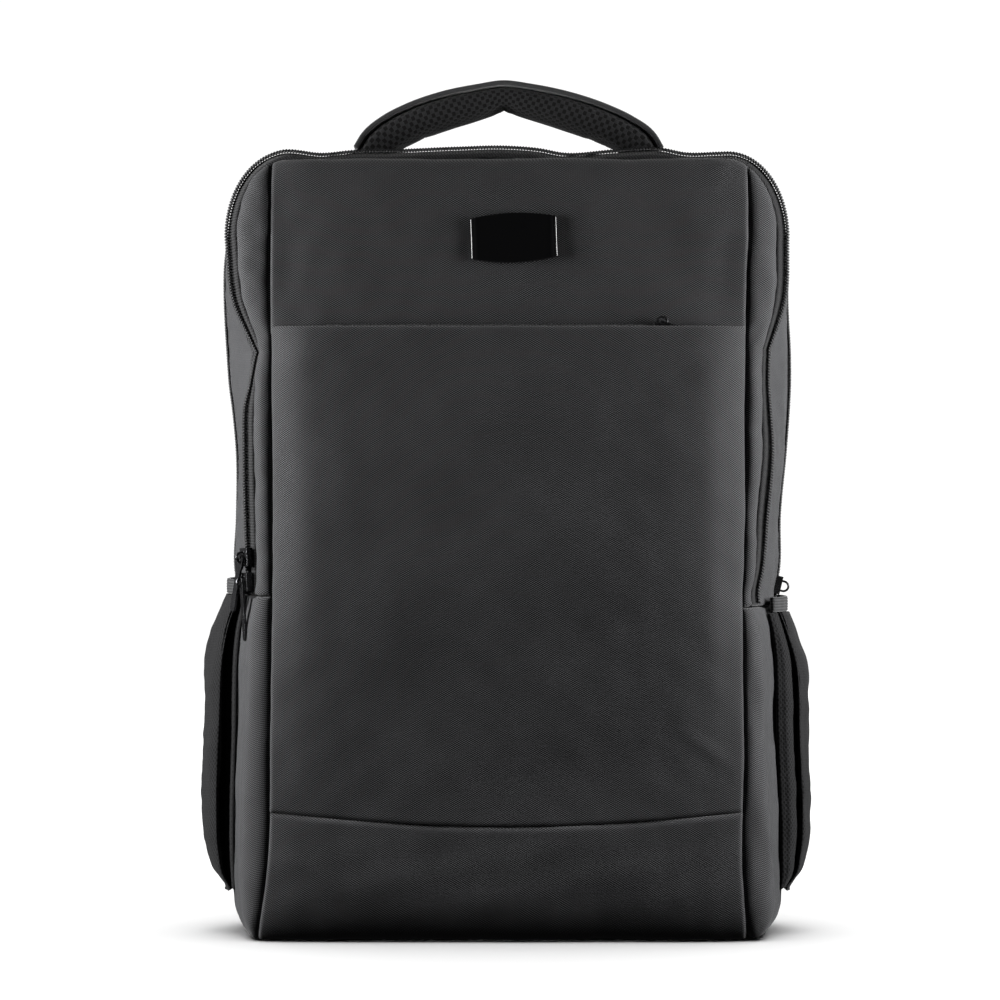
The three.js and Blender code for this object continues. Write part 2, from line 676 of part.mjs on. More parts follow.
// A pull hangs along -Y from the bail's centre, which is its origin, by the crossbar of its eye.
function pullGeometry(length, eyeWidth) {
  const shape = new THREE.Shape();
  const shoulder = bailRadius + bailWire + 2 * crossbarHalf;
  shape.moveTo(-eyeWidth / 2, crossbarHalf);
  shape.lineTo(-eyeWidth / 2, -shoulder);
  shape.lineTo(-pullWidth / 2, -shoulder - eyeTaper);
  shape.lineTo(-pullWidth / 2, -length + pullWidth / 2);
  shape.absarc(0, -length + pullWidth / 2, pullWidth / 2, Math.PI, 2 * Math.PI);
  shape.lineTo(pullWidth / 2, -shoulder - eyeTaper);
  shape.lineTo(eyeWidth / 2, -shoulder);
  shape.lineTo(eyeWidth / 2, crossbarHalf);
  const hole = new THREE.Path();
  const holeHalf = eyeWidth / 2 - eyeRail;
  const holeEnd = -bailRadius - bailWire - gap;
  hole.moveTo(-holeHalf, -crossbarHalf);
  hole.lineTo(holeHalf, -crossbarHalf);
  hole.lineTo(holeHalf, holeEnd);
  hole.lineTo(-holeHalf, holeEnd);
  shape.holes.push(hole);
  const extrusion = { depth: pullThickness, bevelEnabled: false, curveSegments: 4 };
  const pull = new THREE.ExtrudeGeometry(shape, extrusion);
  pull.translate(0, 0, -pullThickness / 2);
  return geometryOf(solidOf(pull));
}

// A slider with its pull, at a point of a tape: across, along and out are that tape's directions.
function placeSlider(point, across, along, out) {
  const group = new THREE.Group();
  group.position.copy(point);
  group.quaternion.setFromRotationMatrix(new THREE.Matrix4().makeBasis(across, along, out));
  backpack.add(group);
  return group;
}

const climbHeights = (side) => spread(sideSteps, (f) => lerp(zipEnd(side) + gap / 2, topCornerStart, f));
const mainChannel = coilWidth + 2 * channelClearance;
const pocketChannel = pocketCoilWidth + 2 * channelClearance;

function frontZipFrame(side, z) {
  const heights = climbHeights(side);
  const depths = [grooveY, (grooveY + gussetY) / 2, gussetY];
  const on = (height, y) => facetPoint(side, height, y, heights, depths);
  const reach = sliderLength / 2;
  const point = on(z, zipY);
  const along = on(z + reach, zipY).sub(on(z - reach, zipY)).normalize();
  const back = on(z, zipY + reach / 2).sub(on(z, zipY - reach / 2));
  const out = back.cross(along).multiplyScalar(side).normalize();
  const across = along.clone().cross(out).normalize();
  return { point, across, along, out };
}

function addMainSlider(name, height, lean, eyeWidth) {
  const { point, across, along, out } = frontZipFrame(-1, height);
  const group = placeSlider(point, across, along, out);
  add("main_slider_" + name, sliderGeometry(sliderWidth, sliderLength, mainChannel), "metal", group);
  const pull = add("main_pull_" + name, pullGeometry(mainPullLength, eyeWidth), "metal", group);
  pull.position.z = bailCentre;
  pull.rotation.z = degToRad(lean);
}

// The pocket's zip lies on a ledge behind the pocket's top edge, and its tape falls away from the
// slider on, which leaves the pull its place.
const ledgeStart = pocketSliderAcross - pocketSliderLength / 2 - 2 * coilCorner;
const ledgeEnd = pocketSliderAcross + pocketPullLength + bailRadius;
const slope = Math.tan(degToRad(ledgeSlope));
const ledgeTop = pocketSeamHeight - ledgeDrop;
const ledgeZ = (x) => ledgeTop - slope * clamp(x - ledgeStart, 0, ledgeEnd - ledgeStart);
const ledgeBack = (x) => frontY(x, pocketSeamHeight) + tuckDepth - gap;
const ledgeFront = (x) => frontY(x, pocketSeamHeight) + tuckDepth - liftAt(x, pocketSeamHeight);
const ledgeCoilY = frontY(pocketSliderAcross, pocketSeamHeight) - pullWidth / 2 - 2 * gap;

function addPocketZip() {
  const xs = [-1, -0.6, -0.2, 0.2, 0.6].map((share) => share * ledgeHalf);
  xs.push(ledgeStart, ledgeEnd);
  const edge = (depth) => xs.map((x) => vec(x, depth(x), ledgeZ(x)));
  const tape = [edge(ledgeFront), edge(ledgeBack)];
  const under = tape.map((row) => row.map((p) => p.clone().setZ(p.z - tapeWall)));
  add("pocket_zip_tape", sheet(tape, under), "tape");
  const rings = xs.map((x) => {
    const centre = vec(x, ledgeCoilY, ledgeZ(x) + gap + coilHeight / 2);
    return section(centre, vec(0, 1, 0), vec(0, 0, 1), pocketCoilWidth / 2, coilHeight / 2, coilCorner);
  });
  add("pocket_zip_coil", loft(rings), "coil");
  const at = vec(pocketSliderAcross, ledgeCoilY, ledgeZ(pocketSliderAcross));
  const along = vec(-1, 0, slope).normalize();
  const group = placeSlider(at, vec(0, 1, 0), along, vec(0, 1, 0).cross(along));
  const slider = sliderGeometry(pocketSliderWidth, pocketSliderLength, pocketChannel);
  add("pocket_slider", slider, "metal", group);
  const pull = add("pocket_pull", pullGeometry(pocketPullLength, pullWidth), "metal", group);
  pull.position.z = bailCentre;
}

// Hidden at the rear zip's right end: one plain slider.
function addRearSlider() {
  const on = (height) => facetPoint(1, height, rearCoilY, climbHeights(1), [rearZipY, rearGussetY]);
  const reach = sliderLength / 2;
  const point = on(rearSliderHeight);
  const along = on(rearSliderHeight + reach).sub(on(rearSliderHeight - reach)).normalize();
  const out = vec(along.z, 0, -along.x);
  const group = placeSlider(point, along.clone().cross(out), along, out);
  add("rear_slider", sliderGeometry(sliderWidth, sliderLength, mainChannel), "metal", group);
}

// Side pockets: mesh that bulges from the side panel, open at the top under an elastic band.
function pocketFrame(side) {
  const top = side < 0 ? zipEndLeft : zipEndRight - bandHeight / 2;
  return { top, front: gussetY + pocketFrontInset, rear: backY - pocketRearInset };
}

function addSidePocket(side, name) {
  const { top, front, rear } = pocketFrame(side);
  const panel = panelHeights(side);
  const base = panel.filter((z) => z > pocketBottom && z < top - gap);
  const heights = [pocketBottom, (pocketBottom + base[0]) / 2, ...base, top - gap];
  const outer = heights.map((z) => {
    const share = (z - pocketBottom) / (top - pocketBottom);
    const out = pocketBulge * read(pocketRows, "height", "out", share);
    return pocketPleat.map((row) => {
      const point = facetPoint(side, z, lerp(front, rear, row.depth), panel, panelDepths);
      point.x += side * (2 * gap + pocketWall + out * row.out);
      return point;
    });
  });
  const inner = outer.map((row) =>
    row.map((p, i) => {
      const before = row[Math.max(0, i - 1)];
      const after = row[Math.min(row.length - 1, i + 1)];
      const along = after.clone().sub(before).setZ(0).normalize();
      return p.clone().addScaledVector(vec(along.y * side, -along.x * side, 0), -pocketWall);
    }),
  );
  add(name, sheet(outer, inner), "mesh");
}

function addPocketBand(side, name) {
  const { top, front, rear } = pocketFrame(side);
  const middle = top + gap + bandHeight / 2;
  const at = (f, z, off) => {
    const p = sidePoint(side, middle, lerp(front, rear, f)).setZ(z);
    p.x += side * (off + bandStand * dome(lerp(bandTuck, 1 - bandTuck, f), acrossPower));
    return p;
  };
  const rows = (off) => grid(1, 10, (u, v) => at(u, top + gap + v * bandHeight, off));
  add(name, sheet(rows(gap + bandThickness), rows(gap)), "tape");
}

// Shoulder straps behind the back panel: pad, adjuster, webbing and the tab it is sewn to.
function strapPoint(side, f, off) {
  const x = side * lerp(strapTopAcross, strapEndAcross, smooth(f));
  const z = lerp(strapTop, strapEnd, f);
  const bow = Math.sin(Math.PI * strapBowEnd * Math.pow(f, strapBowPower));
  const y = backFaceY + gap + off + strapBow * bow;
  return vec(x, y, z);
}

function addStrap(side, word) {
  const end = strapPoint(side, 1, strapPad / 2);
  const anchorY = backFaceY + gap + anchorThickness / 2;
  const anchorTop = vec(side * anchorAcross, anchorY, anchorBase + anchorHeight);
  const down = anchorTop.clone().sub(end).normalize();
  const across = vec(0, 1, 0).cross(down).normalize();
  const out = down.clone().cross(across).normalize();
  const pad = spread(10, (f) => {
    const after = strapPoint(side, Math.min(1, f + 0.02), 0);
    const along = after.sub(strapPoint(side, Math.max(0, f - 0.02), 0)).normalize();
    if (f === 1) along.copy(down);
    const wide = vec(0, 1, 0).cross(along).normalize();
    const taper = smooth(clamp((f - strapTaper) / (1 - strapTaper), 0, 1));
    const half = lerp(strapWidth, adjusterWidth, taper) / 2;
    const centre = strapPoint(side, f, strapPad / 2);
    return section(centre, wide, along.cross(wide), half, strapPad / 2, strapCorner);
  });
  add("strap_pad_" + word, loft(pad), "mesh");

  const slot = new THREE.Shape();
  const halfW = adjusterWidth / 2;
  slot.moveTo(-halfW, 0);
  slot.lineTo(-halfW, -adjusterHeight);
  slot.lineTo(halfW, -adjusterHeight);
  slot.lineTo(halfW, 0);
  for (const low of [0, 1]) {
    const hole = new THREE.Path();
    const from = -adjusterBar - (low * (adjusterHeight - adjusterBar)) / 2;
    const to = from - (adjusterHeight - 3 * adjusterBar) / 2;
    hole.moveTo(-halfW + adjusterBar, from);
    hole.lineTo(halfW - adjusterBar, from);
    hole.lineTo(halfW - adjusterBar, to);
    hole.lineTo(-halfW + adjusterBar, to);
    slot.holes.push(hole);
  }
  const buckle = new THREE.ExtrudeGeometry(slot, { depth: adjusterThickness, bevelEnabled: false });
  buckle.translate(0, 0, -adjusterThickness / 2);
  const group = new THREE.Group();
  group.position.copy(end).addScaledVector(down, gap);
  const turn = new THREE.Matrix4().makeBasis(across, down.clone().negate(), out);
  group.quaternion.setFromRotationMatrix(turn);
  backpack.add(group);
  add("strap_adjuster_" + word, geometryOf(solidOf(buckle)), "plastic", group);

  const start = end.clone().addScaledVector(down, gap + adjusterHeight + gap);
  const band = (centre, wide, face) =>
    section(centre, wide, face, webbingWidth / 2, webbingThickness / 2, webbingCorner);
  const webbing = [0, 0.5].map((f) => band(start.clone().lerp(anchorTop, f), across, out));
  webbing.push(band(anchorTop, vec(-1, 0, 0), vec(0, 1, 0)));
  add("strap_webbing_" + word, loft(webbing), "tape");

  const tab = new THREE.Shape();
  tab.moveTo(-anchorWidth / 2, 0);
  tab.lineTo(anchorWidth / 2, 0);
  tab.lineTo(webbingWidth / 2, anchorHeight - gap);
  tab.lineTo(-webbingWidth / 2, anchorHeight - gap);
  const anchor = new THREE.ExtrudeGeometry(tab, { depth: anchorThickness, bevelEnabled: false });
  const mesh = add("strap_anchor_" + word, geometryOf(solidOf(anchor)), "cloth");
  mesh.rotation.x = Math.PI / 2;
  mesh.position.set(side * anchorAcross, backFaceY + gap + anchorThickness, anchorBase);
}

const sides = [
  { side: -1, word: "left" },
  { side: 1, word: "right" },
];

addFrontPanels();
for (const { side, word } of sides) {
  addFrontStrip(side, "front_strip_" + word);
  addSidePanel(side, "side_panel_" + word);
}
addBottomPanel();
addArchSheet("front_zip_tape", grooveY, gussetY, 2, tapeWall, "tape");
addArchCoil("front_zip_coil", zipY, coilWidth, coilHeight);
addArchSheet("middle_gusset", gussetY, rearZipY, 4, clothWall, "cloth");
addArchSheet("rear_zip_tape", rearZipY, rearGussetY, 1, tapeWall, "tape");
addArchCoil("rear_zip_coil", rearCoilY, coilWidth, coilHeight);
addArchSheet("rear_gusset", rearGussetY, backY, 3, clothWall, "cloth");
addBackPanel();
addHandle();
addNamePlate();
addMainSlider("upper", upperSliderHeight, -upperPullLean, leaningEye);
addMainSlider("lower", lowerSliderHeight, 0, pullWidth);
addPocketZip();
addRearSlider();
for (const { side, word } of sides) {
  addSidePocket(side, "side_pocket_" + word);
  addPocketBand(side, "pocket_band_" + word);
  addStrap(side, word);
}

export default backpack;
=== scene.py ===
# Laptop backpack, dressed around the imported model. Shapes are worked out in millimetres.
import json

import bpy
import numpy as np
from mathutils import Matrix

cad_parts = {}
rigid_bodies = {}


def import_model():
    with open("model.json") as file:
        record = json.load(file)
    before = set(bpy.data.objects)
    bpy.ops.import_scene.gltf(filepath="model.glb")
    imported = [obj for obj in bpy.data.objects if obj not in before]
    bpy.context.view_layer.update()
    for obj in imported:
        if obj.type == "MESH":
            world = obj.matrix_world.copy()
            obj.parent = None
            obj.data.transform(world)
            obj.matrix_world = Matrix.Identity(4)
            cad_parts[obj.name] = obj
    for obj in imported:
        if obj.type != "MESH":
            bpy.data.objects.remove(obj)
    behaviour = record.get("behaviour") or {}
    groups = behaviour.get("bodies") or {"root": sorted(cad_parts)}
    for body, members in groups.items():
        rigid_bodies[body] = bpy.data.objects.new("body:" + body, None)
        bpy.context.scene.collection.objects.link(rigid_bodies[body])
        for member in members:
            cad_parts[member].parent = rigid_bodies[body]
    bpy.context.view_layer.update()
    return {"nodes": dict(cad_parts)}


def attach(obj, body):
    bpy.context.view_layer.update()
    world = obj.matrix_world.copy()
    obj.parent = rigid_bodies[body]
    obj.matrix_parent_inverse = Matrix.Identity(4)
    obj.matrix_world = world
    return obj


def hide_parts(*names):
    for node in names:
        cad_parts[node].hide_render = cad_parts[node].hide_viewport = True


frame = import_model()
print("frame loaded:", len(frame["nodes"]), "nodes")

scene = bpy.context.scene

# The bag's main lines, the same as the solids follow
bag = {
    "height": 442.0,
    "halfWidth": 162.5,
    "frontDepth": 22.0,
    "grooveY": -45.5,
    "zipY": -40.55,
    "gussetY": -36.5,
    "rearZipY": 9.5,
    "rearGussetY": 18.5,
    "backY": 54.5,
    "backFaceY": 67.8,
    "topCorner": (40.0, 49.0),  # width, height
    "rearCornerDrop": 22.0,  # how much lower the corner starts at the rear lines
    "bottomCorner": (25.0, 20.0),
    "insets": (6.0, 2.8, 2.4, 9.0),  # groove, tape, gusset, back: below the top of the coil
    "backShare": 0.05,
    "zipEnd": {-1: 192.0, 1: 186.0},
    "pocketSeam": 341.5,
    "lowerSeam": 72.0,
    "lowerSag": 8.0,
    "pocketLift": 8.6,
}
height, halfWidth = bag["height"], bag["halfWidth"]
grooveY, zipY, gussetY = bag["grooveY"], bag["zipY"], bag["gussetY"]
rearZipY, rearGussetY, backY = bag["rearZipY"], bag["rearGussetY"], bag["backY"]
topCornerStart = height - bag["topCorner"][1]
topFlat = halfWidth - bag["topCorner"][0]  # the cloth rounds its corners more than the solids do
bottomFlat = halfWidth - bag["bottomCorner"][0]
panelTop = height - bag["insets"][0] - 0.3

# Share of the half width that each line stands in, by height as a share of the bag's height
outlineNames = (
    "height", "zipLeft", "zipRight", "grooveLeft", "grooveRight",
    "sideLeft", "sideRight", "seamLeft", "seamRight",
)
outlineTable = np.array([
    [0.0, 0.08, 0.07, 0.09, 0.08, 0.045, 0.045, 0.142, 0.176],
    [0.1, 0.071, 0.074, 0.08, 0.083, 0.032, 0.03, 0.18, 0.194],
    [0.255, 0.081, 0.095, 0.09, 0.107, 0.032, 0.032, 0.187, 0.185],
    [0.39, 0.102, 0.115, 0.111, 0.128, 0.036, 0.038, 0.19, 0.187],
    [0.435, 0.119, 0.14, 0.13, 0.158, 0.062, 0.06, 0.19, 0.187],
    [0.468, 0.112, 0.125, 0.135, 0.144, 0.05, 0.047, 0.19, 0.184],
    [0.533, 0.104, 0.109, 0.134, 0.138, 0.056, 0.045, 0.19, 0.18],
    [0.622, 0.1, 0.091, 0.128, 0.118, 0.055, 0.023, 0.19, 0.18],
    [0.673, 0.103, 0.1, 0.128, 0.12, 0.042, 0.013, 0.19, 0.18],
    [0.704, 0.122, 0.105, 0.13, 0.121, 0.031, 0.009, 0.19, 0.18],
    [0.739, 0.129, 0.1, 0.138, 0.114, 0.024, 0.009, 0.19, 0.18],
    [0.812, 0.06, 0.047, 0.087, 0.076, 0.013, 0.018, 0.19, 0.18],
    [0.888, 0.04, 0.04, 0.068, 0.07, 0.013, 0.015, 0.19, 0.173],
])


def ease(f):
    f = np.clip(f, 0, 1)
    return f * f * (3 - 2 * f)


def mix(a, b, f):
    return a + (b - a) * f


# Flat in the middle and down to 0 at 0 and 1: (1 - |2f - 1|^p)^(1/p)
def dome(f, power):
    return np.maximum(0, 1 - np.abs(2 * np.clip(f, 0, 1) - 1) ** power) ** (1 / power)


# Hermite curve through a table's rows, with each row's slope taken from its neighbours
def readCurve(keys, values, at):
    slopes = np.gradient(values, keys)
    at = np.clip(at, keys[0], keys[-1])
    i = np.clip(np.searchsorted(keys, at, side="right") - 1, 0, len(keys) - 2)
    span = keys[i + 1] - keys[i]
    f = (at - keys[i]) / span
    start = (1 + 2 * f) * (1 - f) ** 2 * values[i] + f * (1 - f) ** 2 * span * slopes[i]
    return start + f * f * (3 - 2 * f) * values[i + 1] + f * f * (f - 1) * span * slopes[i + 1]


def outlineShare(name, side, z):
    column = outlineNames.index(name + ("Left" if side < 0 else "Right"))
    return readCurve(outlineTable[:, 0], outlineTable[:, column], z / height)


# How far along the lines groove, zip, rear zip and back a depth lies, each from 0 to 1
def depthBlend(y):
    toZip = np.clip((y - grooveY) / (zipY - grooveY), 0, 1)
    toRear = np.sin(np.clip((y - zipY) / (rearZipY - zipY), 0, 1) * np.pi / 2)
    toBack = 1 - np.cos(np.clip((y - rearGussetY) / (backY - rearGussetY), 0, 1) * np.pi / 2)
    return toZip, toRear, toBack


def straightHalf(side, z, y):
    toZip, toRear, toBack = depthBlend(y)
    zipShare = outlineShare("zip", side, z)
    share = mix(outlineShare("groove", side, z), zipShare, toZip)
    share = share + (outlineShare("side", side, z) - zipShare) * toRear + bag["backShare"] * toBack
    pinchZ, pinch = (328.0, 2.4) if side < 0 else (330.0, 1.0)
    return halfWidth * (1 - share) - pinch * np.exp(-np.abs(z - pinchZ) / 6.5) * (1 - toRear)


def cornerStart(y):
    return topCornerStart - bag["rearCornerDrop"] * depthBlend(y)[1]


def topAt(y):
    toZip, toRear, toBack = depthBlend(y)
    groove, tape, gusset, back = bag["insets"]
    return height - (groove + (tape - groove) * toZip + (gusset - tape) * toRear + (back - gusset) * toBack)


# Half width at a height and a depth, rounded at the corners by ellipses
def halfAt(side, z, y):
    rounding = bag["bottomCorner"][1]
    start = cornerStart(y)
    half = straightHalf(side, np.clip(z, rounding, start), y)
    turn = np.clip((z - start) / (topAt(y) - start), 0, 1)
    drop = np.clip((rounding - z) / rounding, 0, 1)
    upper = topFlat + (half - topFlat) * np.sqrt(1 - turn**2)
    lower = bottomFlat + (half - bottomFlat) * np.sqrt(1 - drop**2)
    return np.where(z > start, upper, np.where(z < rounding, lower, half))


def seamAt(side, z):
    return side * halfWidth * (1 - outlineShare("seam", side, z))


# Front cloth: grooveY - depth * dome across * dome up
def frontY(x, z):
    left, right = halfAt(-1, z, grooveY) - 0.3, halfAt(1, z, grooveY) - 0.3
    across = (x + left) / (left + right)
    under = np.clip(1 - z / 44, 0, 1)
    roll = (1 - under**2.6) ** (1 / 2.6)
    rise = dome(np.maximum(z, panelTop / 2) / panelTop, 5)
    return grooveY - bag["frontDepth"] * dome(across, 4) * rise * roll


# The pocket's lift ahead of that: lift * (1 - |2a - 1|^12) * ease(climb / 0.6)
def liftAt(x, z):
    left, right = seamAt(-1, z), seamAt(1, z)
    across = (x - left) / (right - left)
    climb = np.clip((z - bag["lowerSeam"]) / (bag["pocketSeam"] - bag["lowerSeam"]), 0, 1)
    return bag["pocketLift"] * (1 - np.abs(2 * across - 1) ** 12) * ease(climb / 0.6)


# Wave of the top edge in the photograph: across, rise
topWaveTable = np.array([
    [-150, 0.0], [-132, 0.0], [-122, 0.4], [-104, -1.6], [-86, 0.0], [-63, 0.4], [-29, 1.8], [0, 2.4],
    [18, 1.0], [31, -1.4], [60, 0.3], [87, 1.2], [99, -1.2], [118, -1.0], [132, -0.4], [150, 0.0],
])


def topWave(x, y):
    return readCurve(topWaveTable[:, 0], topWaveTable[:, 1], x) * (1 - ease((y - zipY) / 30))


# The arch of the zips from the left end (0) over the top to the right end (1)
def archPoint(a, y):
    corner = 63.0
    leftEnd, rightEnd = bag["zipEnd"][-1] + 0.15, bag["zipEnd"][1] + 0.15
    lengths = [topCornerStart - leftEnd, corner, 2 * topFlat, corner, topCornerStart - rightEnd]
    marks = np.cumsum([0.0] + lengths)
    a, y = np.broadcast_arrays(np.asarray(a, float), np.asarray(y, float))
    start = cornerStart(y)
    s = a * marks[-1]
    top = topAt(y)
    leftZ = mix(leftEnd, start, np.clip(s / marks[1], 0, 1))
    rightZ = mix(rightEnd, start, np.clip((marks[-1] - s) / lengths[4], 0, 1))
    leftTurn = np.clip((s - marks[1]) / corner, 0, 1) * np.pi / 2
    rightTurn = np.clip((marks[4] - s) / corner, 0, 1) * np.pi / 2
    leftReach = straightHalf(-1, start, y) - topFlat
    rightReach = straightHalf(1, start, y) - topFlat
    flatX = s - marks[2] - topFlat
    where = [s < marks[1], s < marks[2], s <= marks[3], s <= marks[4], s > marks[4]]
    x = np.select(where, [
        -halfAt(-1, leftZ, y),
        -(topFlat + leftReach * np.cos(leftTurn)),
        flatX,
        topFlat + rightReach * np.cos(rightTurn),
        halfAt(1, rightZ, y),
    ])
    rise = top - start
    z = np.select(where, [
        leftZ,
        start + rise * np.sin(leftTurn),
        top,
        start + rise * np.sin(rightTurn),
        rightZ,
    ])
    z = z + np.where(z > start, topWave(x, y) * ease((z - start) / rise * 2 - 1), 0)
    return np.stack([x, y, z], -1)


# Materials


def newMaterial(name):
    material = bpy.data.materials.new(name)
    material.use_nodes = True
    tree = material.node_tree
    shader = tree.nodes["Principled BSDF"]
    return material, tree, shader


def addNode(tree, kind, **values):
    node = tree.nodes.new(kind)
    for key, value in values.items():
        setattr(node, key, value)
    return node


def setInputs(node, values):
    for key, value in values.items():
        node.inputs[key].default_value = value


def mathNode(tree, operation, first, second=None, third=None):
    node = addNode(tree, "ShaderNodeMath", operation=operation)
    for i, value in enumerate((first, second, third)):
        if value is None:
            continue
        if isinstance(value, (int, float)):
            node.inputs[i].default_value = value
        else:
            tree.links.new(value, node.inputs[i])
    return node.outputs[0]


def rangeNode(tree, value, fromLow, fromHigh, toLow, toHigh, smooth=False):
    node = addNode(tree, "ShaderNodeMapRange", interpolation_type="SMOOTHSTEP" if smooth else "LINEAR")
    tree.links.new(value, node.inputs["Value"])
    setInputs(node, {"From Min": fromLow, "From Max": fromHigh, "To Min": toLow, "To Max": toHigh})
    return node.outputs[0]


def noiseNode(tree, vector, scale, detail=2.0, stretch=(1, 1, 1)):
    mapping = addNode(tree, "ShaderNodeMapping")
    mapping.inputs["Scale"].default_value = stretch
    tree.links.new(vector, mapping.inputs["Vector"])
    noise = addNode(tree, "ShaderNodeTexNoise")
    setInputs(noise, {"Scale": scale, "Detail": detail})
    tree.links.new(mapping.outputs[0], noise.inputs["Vector"])
    return noise.outputs["Fac"]


def rampNode(tree, value, stops):
    node = addNode(tree, "ShaderNodeValToRGB")
    for element, (position, color) in zip(node.color_ramp.elements, stops):
        element.position = position
        element.color = (*color, 1)
    tree.links.new(value, node.inputs[0])
    return node.outputs[0]


def bumpNode(tree, heightSocket, distance, strength, shader):
    bump = addNode(tree, "ShaderNodeBump")
    bump.inputs["Distance"].default_value = distance
    bump.inputs["Strength"].default_value = strength
    tree.links.new(heightSocket, bump.inputs["Height"])
    tree.links.new(bump.outputs[0], shader.inputs["Normal"])


# UV maps are in metres along the cloth, so a wave of the pitch is sin(2 pi u / pitch)
def clothAxes(tree):
    uv = addNode(tree, "ShaderNodeUVMap", uv_map="cloth")
    split = addNode(tree, "ShaderNodeSeparateXYZ")
    tree.links.new(uv.outputs[0], split.inputs[0])
    return uv.outputs[0], split.outputs[0], split.outputs[1]


def waveNode(tree, first, second, alongFirst, alongSecond):
    offset = mathNode(tree, "MULTIPLY", second, 2 * np.pi * alongSecond)
    phase = mathNode(tree, "MULTIPLY_ADD", first, 2 * np.pi * alongFirst, offset)
    return mathNode(tree, "SINE", phase)


# Chequer of two waves: sin(2 pi u * alongU) * sin(2 pi v * alongV)
def netNode(tree, u, v, alongU, alongV):
    return mathNode(tree, "MULTIPLY", waveNode(tree, u, v, alongU, 0), waveNode(tree, u, v, 0, alongV))


# Plain weave: short dashes in a chequer, sin(2 pi u / a) * sin(2 pi v / b), a little waved and mottled
def wovenMaterial(name, dark, light, pitch=(0.00195, 0.00118)):
    material, tree, shader = newMaterial(name)
    vector, u, v = clothAxes(tree)
    drift = noiseNode(tree, vector, 22, 2)
    u = mathNode(tree, "MULTIPLY_ADD", drift, 0.0016, u)
    v = mathNode(tree, "MULTIPLY_ADD", drift, 0.0022, v)
    weave = rangeNode(tree, netNode(tree, u, v, 1 / pitch[0], 1 / pitch[1]), -0.7, 0.7, 0, 1, smooth=True)
    yarn = noiseNode(tree, vector, 900, 2)
    blotch = noiseNode(tree, vector, 30, 3)
    tone = mathNode(tree, "MULTIPLY_ADD", weave, 0.85, mathNode(tree, "MULTIPLY", yarn, 0.15))
    tone = mathNode(tree, "MULTIPLY", tone, rangeNode(tree, blotch, 0.25, 0.75, 0.92, 1.06))
    tree.links.new(rampNode(tree, tone, [(0.38, dark), (1.0, light)]), shader.inputs["Base Color"])
    tree.links.new(rangeNode(tree, weave, 0, 1, 0.95, 0.7), shader.inputs["Roughness"])
    setInputs(shader, {"Specular IOR Level": 0.25, "Sheen Weight": 0.12, "Sheen Roughness": 0.5})
    bumpNode(tree, tone, 0.00015, 0.7, shader)
    return material


# Knitted mesh: rows of small holes, offset from row to row, h = sin(u) * sin(v) above a limit
def meshMaterial(name, dark, light, pitch, holes, depth):
    material, tree, shader = newMaterial(name)
    vector, u, v = clothAxes(tree)
    net = netNode(tree, u, v, 1 / pitch, 0.8 / pitch)
    hole = rangeNode(tree, net, holes, holes + 0.25, 0, 1, smooth=True)
    yarn = noiseNode(tree, vector, 900, 2, (1, 0.35, 1))
    knit = rangeNode(tree, hole, 0, 1, 1, 0.12)
    tone = mathNode(tree, "MULTIPLY", knit, rangeNode(tree, yarn, 0.2, 0.8, 0.55, 1.1))
    tree.links.new(rampNode(tree, tone, [(0.08, dark), (0.95, light)]), shader.inputs["Base Color"])
    setInputs(shader, {"Roughness": 0.9, "Specular IOR Level": 0.2, "Sheen Weight": 0.05})
    bumpNode(tree, tone, depth, 0.8, shader)
    return material


# Tape and webbing: ribs sin(along) + 0.3 sin(over + 0.6 along), with a fine thread noise
def ribbedMaterial(name, dark, light, pitch, alongV=True, sheen=0.15, depth=0.0002):
    material, tree, shader = newMaterial(name)
    vector, u, v = clothAxes(tree)
    over, along = (u, v) if alongV else (v, u)
    wave = waveNode(tree, over, along, 0, 1 / pitch)
    cross = waveNode(tree, over, along, 1 / pitch, 0.6 / pitch)
    rib = rangeNode(tree, mathNode(tree, "MULTIPLY_ADD", cross, 0.3, wave), -1.3, 1.3, 0, 1)
    yarn = noiseNode(tree, vector, 700, 2)
    tone = mathNode(tree, "MULTIPLY", rib, rangeNode(tree, yarn, 0.2, 0.8, 0.7, 1.1))
    tree.links.new(rampNode(tree, tone, [(0.1, dark), (0.9, light)]), shader.inputs["Base Color"])
    setInputs(shader, {"Roughness": 0.85, "Specular IOR Level": 0.3, "Sheen Weight": sheen})
    bumpNode(tree, tone, depth, 0.8, shader)
    return material


# Hard finishes read Object coordinates: a base colour with scuffs and a fine grain
def hardMaterial(name, color, roughness, metallic=0.0, coat=0.0, wear=0.25):
    material, tree, shader = newMaterial(name)
    vector = addNode(tree, "ShaderNodeTexCoord").outputs["Object"]
    scuff = noiseNode(tree, vector, 160, 4)
    fine = noiseNode(tree, vector, 1500, 2)
    lighter = tuple(min(1, c * (1 + wear * 2)) for c in color)
    tree.links.new(rampNode(tree, scuff, [(0.4, color), (0.8, lighter)]), shader.inputs["Base Color"])
    rough = mathNode(tree, "MULTIPLY_ADD", fine, 0.08, roughness - 0.04)
    tree.links.new(mathNode(tree, "MULTIPLY_ADD", scuff, wear * 0.2, rough), shader.inputs["Roughness"])
    setInputs(shader, {"Metallic": metallic, "Coat Weight": coat, "Coat Roughness": 0.03})
    bumpNode(tree, fine, 0.00002, 0.4, shader)
    return material


